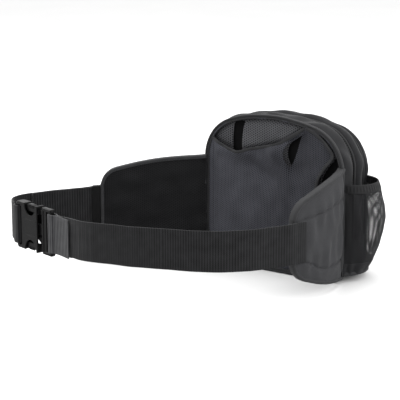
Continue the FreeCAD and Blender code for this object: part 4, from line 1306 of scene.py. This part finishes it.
def build_belt():
    """The straps from each wing to the buckle, the belt's free tail and its keeper."""
    line, normal, travelled = belt_line(RIGHT_WING, -9, RIGHT_RUNS)
    first = travelled <= SPLIT_AT + 0.6
    path = lapped(RIGHT_WING, line[first], normal[first], 7.4, 34.0)
    shell = Shell()
    webbing_grid(shell, path, RIGHT_SEED, start=-LAP)
    near = settle_strap(shell, "right_webbing_wing_end", ["right_webbing"])
    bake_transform(near)

    shell = Shell()
    webbing_grid(shell, line[travelled >= SPLIT_AT - 1], RIGHT_SEED, start=SPLIT_AT - 1)
    far = settle_strap(shell, "right_webbing_plug_end", ["right_webbing"])
    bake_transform(far)

    line, normal, travelled = belt_line(LEFT_WING, 3, LEFT_RUNS)
    path = lapped(LEFT_WING, line, normal, 7.0, 30.0)
    shell = Shell()
    webbing_grid(shell, path, LEFT_SEED, start=-LAP)
    strap = settle_strap(shell, "left_webbing_strap", ["left_webbing"])
    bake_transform(strap)

    tail = travelled < TAIL_LENGTH
    shell = Shell()
    offset = WEBBING_SHEET + SELVEDGE_GAP
    webbing_grid(shell, line[tail] + normal[tail] * offset, LEFT_SEED, width=WEBBING_WIDTH - 0.6)
    hem = (travelled > TAIL_LENGTH - 9) & tail
    webbing_grid(shell, line[hem] + normal[hem] * (offset + WEBBING_SHEET + 0.1), LEFT_SEED,
                 width=WEBBING_WIDTH - 1.0)
    strap = settle_strap(shell, "webbing_tail_strap", ["webbing_tail"])
    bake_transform(strap)
    build_keeper(line, normal, offset)


def settle_strap(shell, name, nodes):
    """A strap's finish and what it stands for, whose CAD nodes are hidden."""
    piece = shell.piece(name, WEBBING)
    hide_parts(*nodes)
    return piece


def build_keeper(line, normal, offset):
    """A ribbed elastic loop round the belt and its tail, coloured near-black as painted shade by the
    left wing's tip.
    """
    place, out = line[7], normal[7]
    ahead = unit(line[8] - line[6])
    middle = place + out * offset / 2
    section = rounded(WEBBING_SHEET + 2.3, WEBBING_WIDTH / 2 + 1.6, 1.6, steps=6)
    shell = Shell()
    grid = []
    for across in np.linspace(-5, 5, 19):
        swell = 1 + 0.02 * math.cos(math.tau * across / 1.5)
        ring = middle + ahead * across
        points = ring + out * section[:, :1] * swell + UP * section[:, 1:]
        grid.append(points)
    shell.cloth(np.array(grid), 1.1, closed=True)
    keeper = settle(shell.piece("belt_keeper_elastic", SHADED_KEEPER), "left_wing", "elastic", "webbing_keeper")


# -------------------------------------------------------------------------- buckle
# Buckle sizes are along its axis from the socket's mouth, up its width and out of its face.

BUCKLE_HALF, BUCKLE_THICK, SOCKET_LENGTH, PLUG_LENGTH = 30.5, 12.0, 46.0, 27.0
PLATE = 2.2
BAR, SLOT_DEEP, SLOT_HALF = 5.0, 6.0, 26.0


def buckle_points(points):
    """Buckle coordinates to the CAD frame."""
    along, wide, out = np.asarray(points, float).T
    cos, sin = math.cos(BUCKLE_HEADING), math.sin(BUCKLE_HEADING)
    return BUCKLE_PLACE + np.stack([along * cos + out * sin, along * sin - out * cos, wide], -1)


def moulding(name, loops, low, high, bevel):
    """A plate cut from outlines, rounded along every edge, between two depths."""
    curve = bpy.data.curves.new(name, "CURVE")
    curve.dimensions = "2D"
    curve.fill_mode = "BOTH"
    curve.extrude = ((high - low) / 2 - bevel) * MM
    curve.bevel_depth = bevel * MM
    curve.bevel_resolution = 3
    curve.offset = -bevel * MM
    for loop in loops:
        spline = curve.splines.new("POLY")
        spline.points.add(len(loop) - 1)
        for point, (x, y) in zip(spline.points, loop):
            point.co = (x * MM, y * MM, 0, 1)
        spline.use_cyclic_u = True
    holder = add_object(name + "_outline", curve)
    bpy.context.view_layer.update()
    evaluated = holder.evaluated_get(bpy.context.evaluated_depsgraph_get())
    mesh = bpy.data.meshes.new_from_object(evaluated)
    bpy.data.objects.remove(holder)
    bpy.data.curves.remove(curve)
    made = bmesh.new()
    made.from_mesh(mesh)
    bmesh.ops.remove_doubles(made, verts=made.verts, dist=0.01 * MM)
    bmesh.ops.triangulate(made, faces=made.faces)
    bmesh.ops.recalc_face_normals(made, faces=made.faces)
    made.to_mesh(mesh)
    made.free()
    points = np.array([vertex.co for vertex in mesh.vertices]) / MM
    flat = points[:, :2] * MM
    points[:, 2] += (low + high) / 2
    placed = buckle_points(points) * MM
    for vertex, place in zip(mesh.vertices, placed):
        vertex.co = place
    layer = mesh.uv_layers.new(name="cloth")
    for loop in mesh.loops:
        layer.data[loop.index].uv = flat[loop.vertex_index]
    mesh.materials.clear()
    mesh.materials.append(PLASTIC)
    mesh.shade_smooth()
    mesh.set_sharp_from_angle(angle=math.radians(38))
    return add_object(name, mesh)


def join(name, pieces):
    """Make one piece of several."""
    made = bmesh.new()
    for piece in pieces:
        made.from_mesh(piece.data)
    first = pieces[0]
    made.to_mesh(first.data)
    made.free()
    for piece in pieces[1:]:
        bpy.data.objects.remove(piece)
    first.name = name
    first.data.name = name
    flat_faces = first.modifiers.new("flat faces", "WEIGHTED_NORMAL")
    flat_faces.keep_sharp = True
    return first


def box_loop(left, low, right, high, corner=1.2):
    shape = rounded((right - left) / 2, (high - low) / 2, corner, steps=5)
    return shape + np.array([(left + right) / 2, (low + high) / 2])


WINDOW_MIDDLE, WINDOW_LONG, WINDOW_DEEP = -15.5, 12.0, 14.5


def socket_outline():
    """A sleeve's face: round corners at the bar and a curved window bitten from each side."""
    def side(turn):
        bite = np.radians(np.linspace(180, 0, 18))
        window = np.stack([WINDOW_MIDDLE + WINDOW_LONG * np.cos(bite),
                           BUCKLE_HALF - WINDOW_DEEP * np.sin(bite)], -1)
        bar = arc_points((-SOCKET_LENGTH + 6, BUCKLE_HALF - 6), 6, 180, 90, 8)
        mouth = arc_points((-2.2, BUCKLE_HALF - 2.2), 2.2, 90, 0, 5)
        return np.concatenate([bar, window, mouth]) * (1, turn)
    return np.concatenate([side(1), side(-1)[::-1]])


def build_socket(half):
    """Two plates with a bar, a wall and rails between them, and ribs on the face."""
    face = socket_outline()
    bar_end = -SOCKET_LENGTH + BAR
    slot = box_loop(bar_end, -SLOT_HALF, bar_end + SLOT_DEEP, SLOT_HALF, 2.0)
    plates = [
        moulding("socket_front", [face, slot], half - PLATE, half, 0.8),
        moulding("socket_back", [face, slot], -half, -half + PLATE, 0.8),
    ]
    bar = box_loop(-SOCKET_LENGTH, -BUCKLE_HALF, bar_end, BUCKLE_HALF, 2.4)
    wall_half = BUCKLE_HALF - 0.4
    rear_wall = box_loop(bar_end + SLOT_DEEP, -wall_half, bar_end + SLOT_DEEP + 3, wall_half, 1.2)
    for name, loop in (("socket_bar", bar), ("socket_wall", rear_wall)):
        plates.append(moulding(name, [loop], -half + 0.5, half - 0.5, 1.4))
    for turn in (-1, 1):
        low, high = sorted((turn * (BUCKLE_HALF - 4.5), turn * BUCKLE_HALF))
        for label, left, right in (("rear", -SOCKET_LENGTH + 1, -27.8), ("mouth", -4.4, -0.2)):
            loop = box_loop(left, low, right, high, 1.6)
            plates.append(moulding(f"socket_rail_{label}_{turn}", [loop], -half + 0.3, half - 0.3,
                                   1.3))
        rib = box_loop(-27.0, turn * 9.5 - 0.7, -3.0, turn * 9.5 + 0.7, 0.6)
        plates.append(moulding(f"socket_rib_{turn}", [rib], half - 0.6, half + 0.35, 0.3))
    settle(join("buckle_socket_shell", plates), "root", "buckle_plastic", "buckle_socket")


def build_plug():
    """The plug's frame with its bar, rails and middle guide."""
    frame_loop = box_loop(6.0, -BUCKLE_HALF, PLUG_LENGTH, BUCKLE_HALF, 4.0)
    bar_end = PLUG_LENGTH - BAR
    slot = box_loop(bar_end - SLOT_DEEP, -SLOT_HALF, bar_end, SLOT_HALF, 2.0)
    plug = [moulding("plug_plate", [frame_loop, slot], -2.6, 2.6, 1.2)]
    for turn in (-1, 1):
        low, high = sorted((turn * 20.2, turn * 25.8))
        plug.append(moulding(f"plug_arm_root_{turn}", [box_loop(0.2, low, 9.0, high, 1.0)],
                             -2.4, 2.4, 0.9))
        low, high = sorted((turn * (BUCKLE_HALF - 4.2), turn * (BUCKLE_HALF - 0.1)))
        plug.append(moulding(f"plug_rail_{turn}", [box_loop(6.4, low, PLUG_LENGTH - 0.4, high, 1.9)],
                             -3.5, 3.5, 1.6))
    cross_bar = box_loop(6.2, -BUCKLE_HALF + 1.5, 10.6, BUCKLE_HALF - 1.5, 2.0)
    plug.append(moulding("plug_shoulder", [cross_bar], -3.5, 3.5, 1.5))
    guide = np.array([(9, -7), (-26, -6), (-28, -3.5), (-28, 3.5), (-26, 6), (9, 7)], float)
    plug.append(moulding("plug_guide", [guide], -2.4, 2.4, 0.8))
    settle(join("buckle_plug_body", plug), "plug", "buckle_plastic", "buckle_plug")


def build_arms():
    """The two spring arms, each with a ribbed thumb pad."""
    for label, turn in (("lower", -1), ("upper", 1)):
        pad = curve_through([(-5.0, 26.4), (-9.5, 28.6), (-16, 30.0), (-23, 29.6), (-28, 27.4),
                             (-30.6, 24.5)], 20)
        inner = curve_through([(-29.5, 21.5), (-22, 19.8), (-12, 20.2), (-0.2, 19.6)], 14)
        loop = np.concatenate([[(-0.2, 26.4)], pad, inner]) * (1, turn)
        arm = [moulding(f"arm_{label}_plate", [loop], -3.1, 3.1, 1.1)]
        for step in range(4):
            x = -11 - 3.2 * step
            grip = box_loop(x - 0.7, turn * 27.4 - 2.3, x + 0.7, turn * 27.4 + 1.9, 0.6)
            arm.append(moulding(f"arm_{label}_grip_{step}", [grip], 2.6, 3.6, 0.35))
        settle(join(f"buckle_spring_arm_{label}", arm), f"arm_{label}", "buckle_plastic",
               f"buckle_arm_{label}")


def build_buckle():
    build_socket(BUCKLE_THICK / 2)
    build_plug()
    build_arms()
    build_loop("plug_loop_webbing", 1, PLUG_LENGTH, 7.0, 9.0, 36.0, "plug", "plug_webbing_loop")
    build_loop("socket_loop_webbing", -1, -SOCKET_LENGTH, BUCKLE_THICK, 8.0, 11.0, "root",
               "socket_webbing_loop")


def build_loop(name, turn, bar_end, thick, reach, leg, body, node):
    """Webbing folded round a bar, its two legs closing onto the strap."""
    half = thick / 2 + 0.3 + WEBBING_SHEET / 2
    flat = WEBBING_SHEET + SELVEDGE_GAP
    near = bar_end - turn * (BAR + 0.3 + WEBBING_SHEET / 2)
    outer = curve_through([(bar_end + turn * leg, flat), (bar_end + turn * reach, flat + 0.1),
                           (bar_end + turn * 3.2, half - 0.7), (bar_end - turn * 1.5, half),
                           (near + turn * 1.6, half - 0.2), (near, half - 2.0)], 60)
    line = np.concatenate([outer, outer[::-1] * (1, -1)])
    line = along_path(line, np.linspace(0, lengths(line)[-1], 160))
    points = np.column_stack([line[:, 0], 0 * line[:, 0], line[:, 1]])
    ahead = headings(line)
    normal = np.column_stack([-ahead[:, 1], 0 * ahead[:, 0], ahead[:, 0]]) * turn
    origin = buckle_points([(0.0, 0.0, 0.0)])
    shell = Shell()
    webbing_grid(shell, buckle_points(points), LEFT_SEED, width=WEBBING_WIDTH - 0.4,
                 normal=buckle_points(normal) - origin, rib=0.08)
    # The plug's loop is drawn in the paler webbing copy, painted light.
    piece = settle(shell.piece(name, WEBBING_PAINTED_LIGHT if turn > 0 else WEBBING), body, "webbing", node)
    if leg > 20:
        threads = Shell()
        path = buckle_points([(bar_end + turn * x, 0.0, flat) for x in np.linspace(10, leg - 1, 40)])
        out = every((buckle_points([(0.0, 0.0, 1.0)]) - origin)[0], 40)
        cross_stitch(threads, path, out, 3.0, leg - 13.0, WEBBING_SHEET / 2 + 0.25)
        settle(threads.piece(name + "_stitching", THREAD_LOOK), body, "webbing")


# ----------------------------------------------------------------------- the stage

# Stage sizes are in metres.
FLOOR_REACH, FLOOR_GAP = 6.0, 0.0006


def build_stage():
    """A pale floor under a soft overcast, with a broad light from above and one from the right."""
    floor_mesh = bpy.data.meshes.new("floor")
    corners = [(-1, -1), (1, -1), (1, 1), (-1, 1)]
    points = [(x * FLOOR_REACH, y * FLOOR_REACH, 0) for x, y in corners]
    floor_mesh.from_pydata(points, [], [(0, 1, 2, 3)])
    paper = Look("floor_paper", roughness=0.9, specular=0.1, solid=True)
    paper.colour((0.50, 0.50, 0.50), (0.53, 0.53, 0.53), paper.noise(0.2))
    floor_mesh.materials.append(paper.material)
    floor = add_object("floor", floor_mesh)
    floor.location.z = -FLOOR_GAP

    world = bpy.data.worlds.new("studio")
    world.use_nodes = True
    world.node_tree.nodes["Background"].inputs["Color"].default_value = (1, 1, 1, 1)
    world.node_tree.nodes["Background"].inputs["Strength"].default_value = 1.75
    bpy.context.scene.world = world
    bpy.context.scene.view_settings.view_transform = "Standard"

    lights = [
        ("overhead", (0.0, 0.2, 2.0), 2.2, 50.0),
        ("left_near", (-0.95, -0.30, 0.75), 0.4, 9.0),
        ("right_side", (1.6, 0.1, 0.8), 0.8, 20.0),
    ]
    for name, place, size, power in lights:
        light = bpy.data.lights.new(name, "AREA")
        light.energy = power
        light.size = size
        lamp = add_object(name, light)
        lamp.location = place
        aim = Vector((-0.02, -0.06, 0.1)) - lamp.location
        lamp.rotation_euler = aim.to_track_quat("-Z", "Y").to_euler()


def build_camera():
    azimuth, elevation, distance = math.radians(35.14), math.radians(13.4), 1.804
    target = Vector((-0.0561, -0.120, 0.1015))
    level = math.cos(elevation)
    back = Vector((math.sin(azimuth) * level, -math.cos(azimuth) * level, math.sin(elevation)))
    camera = bpy.data.cameras.new("camera")
    camera.lens = 130.0
    camera.sensor_width = 36.0
    holder = add_object("camera", camera)
    holder.location = target + back * distance
    holder.rotation_euler = (-back).to_track_quat("-Z", "Y").to_euler()
    bpy.context.scene.camera = holder


build_stage()
build_camera()
build_walls()
build_zip("main_zip", MAIN_ZIP, 21)
build_zip("pocket_zip", POCKET_ZIP, 24)
build_rim("rear_rim_tape", outline(0, 0, 0),
          [(1.5, BACK_FACE, 1.5, 2.6), (4.4, BACK_FACE - 0.4, 1.7, 1.5)], 28, ["rear_piping"],
          [(4.4, BACK_FACE - 1.95, -1)])
build_rim("front_rim_tape", outline_at(FRONT_FACE), [(1.2, 39.6, 1.7, 2.1)], 29, ["front_piping"],
          [(1.2, 41.75, 1)])
build_back()
build_front()
for label, side in (("right", 1.0), ("left", -1.0)):
    build_bottle_pocket(label, side)
for wing in (RIGHT_WING, LEFT_WING):
    build_wing(wing)
build_belt()
build_buckle()
dress(FOAM, "back_foam", "right_wing_foam", "left_wing_foam")
dress(LINING, "back_lining", "divider_panel")
dress(METAL, "main_slider", "front_slider", "main_pull", "front_pull")
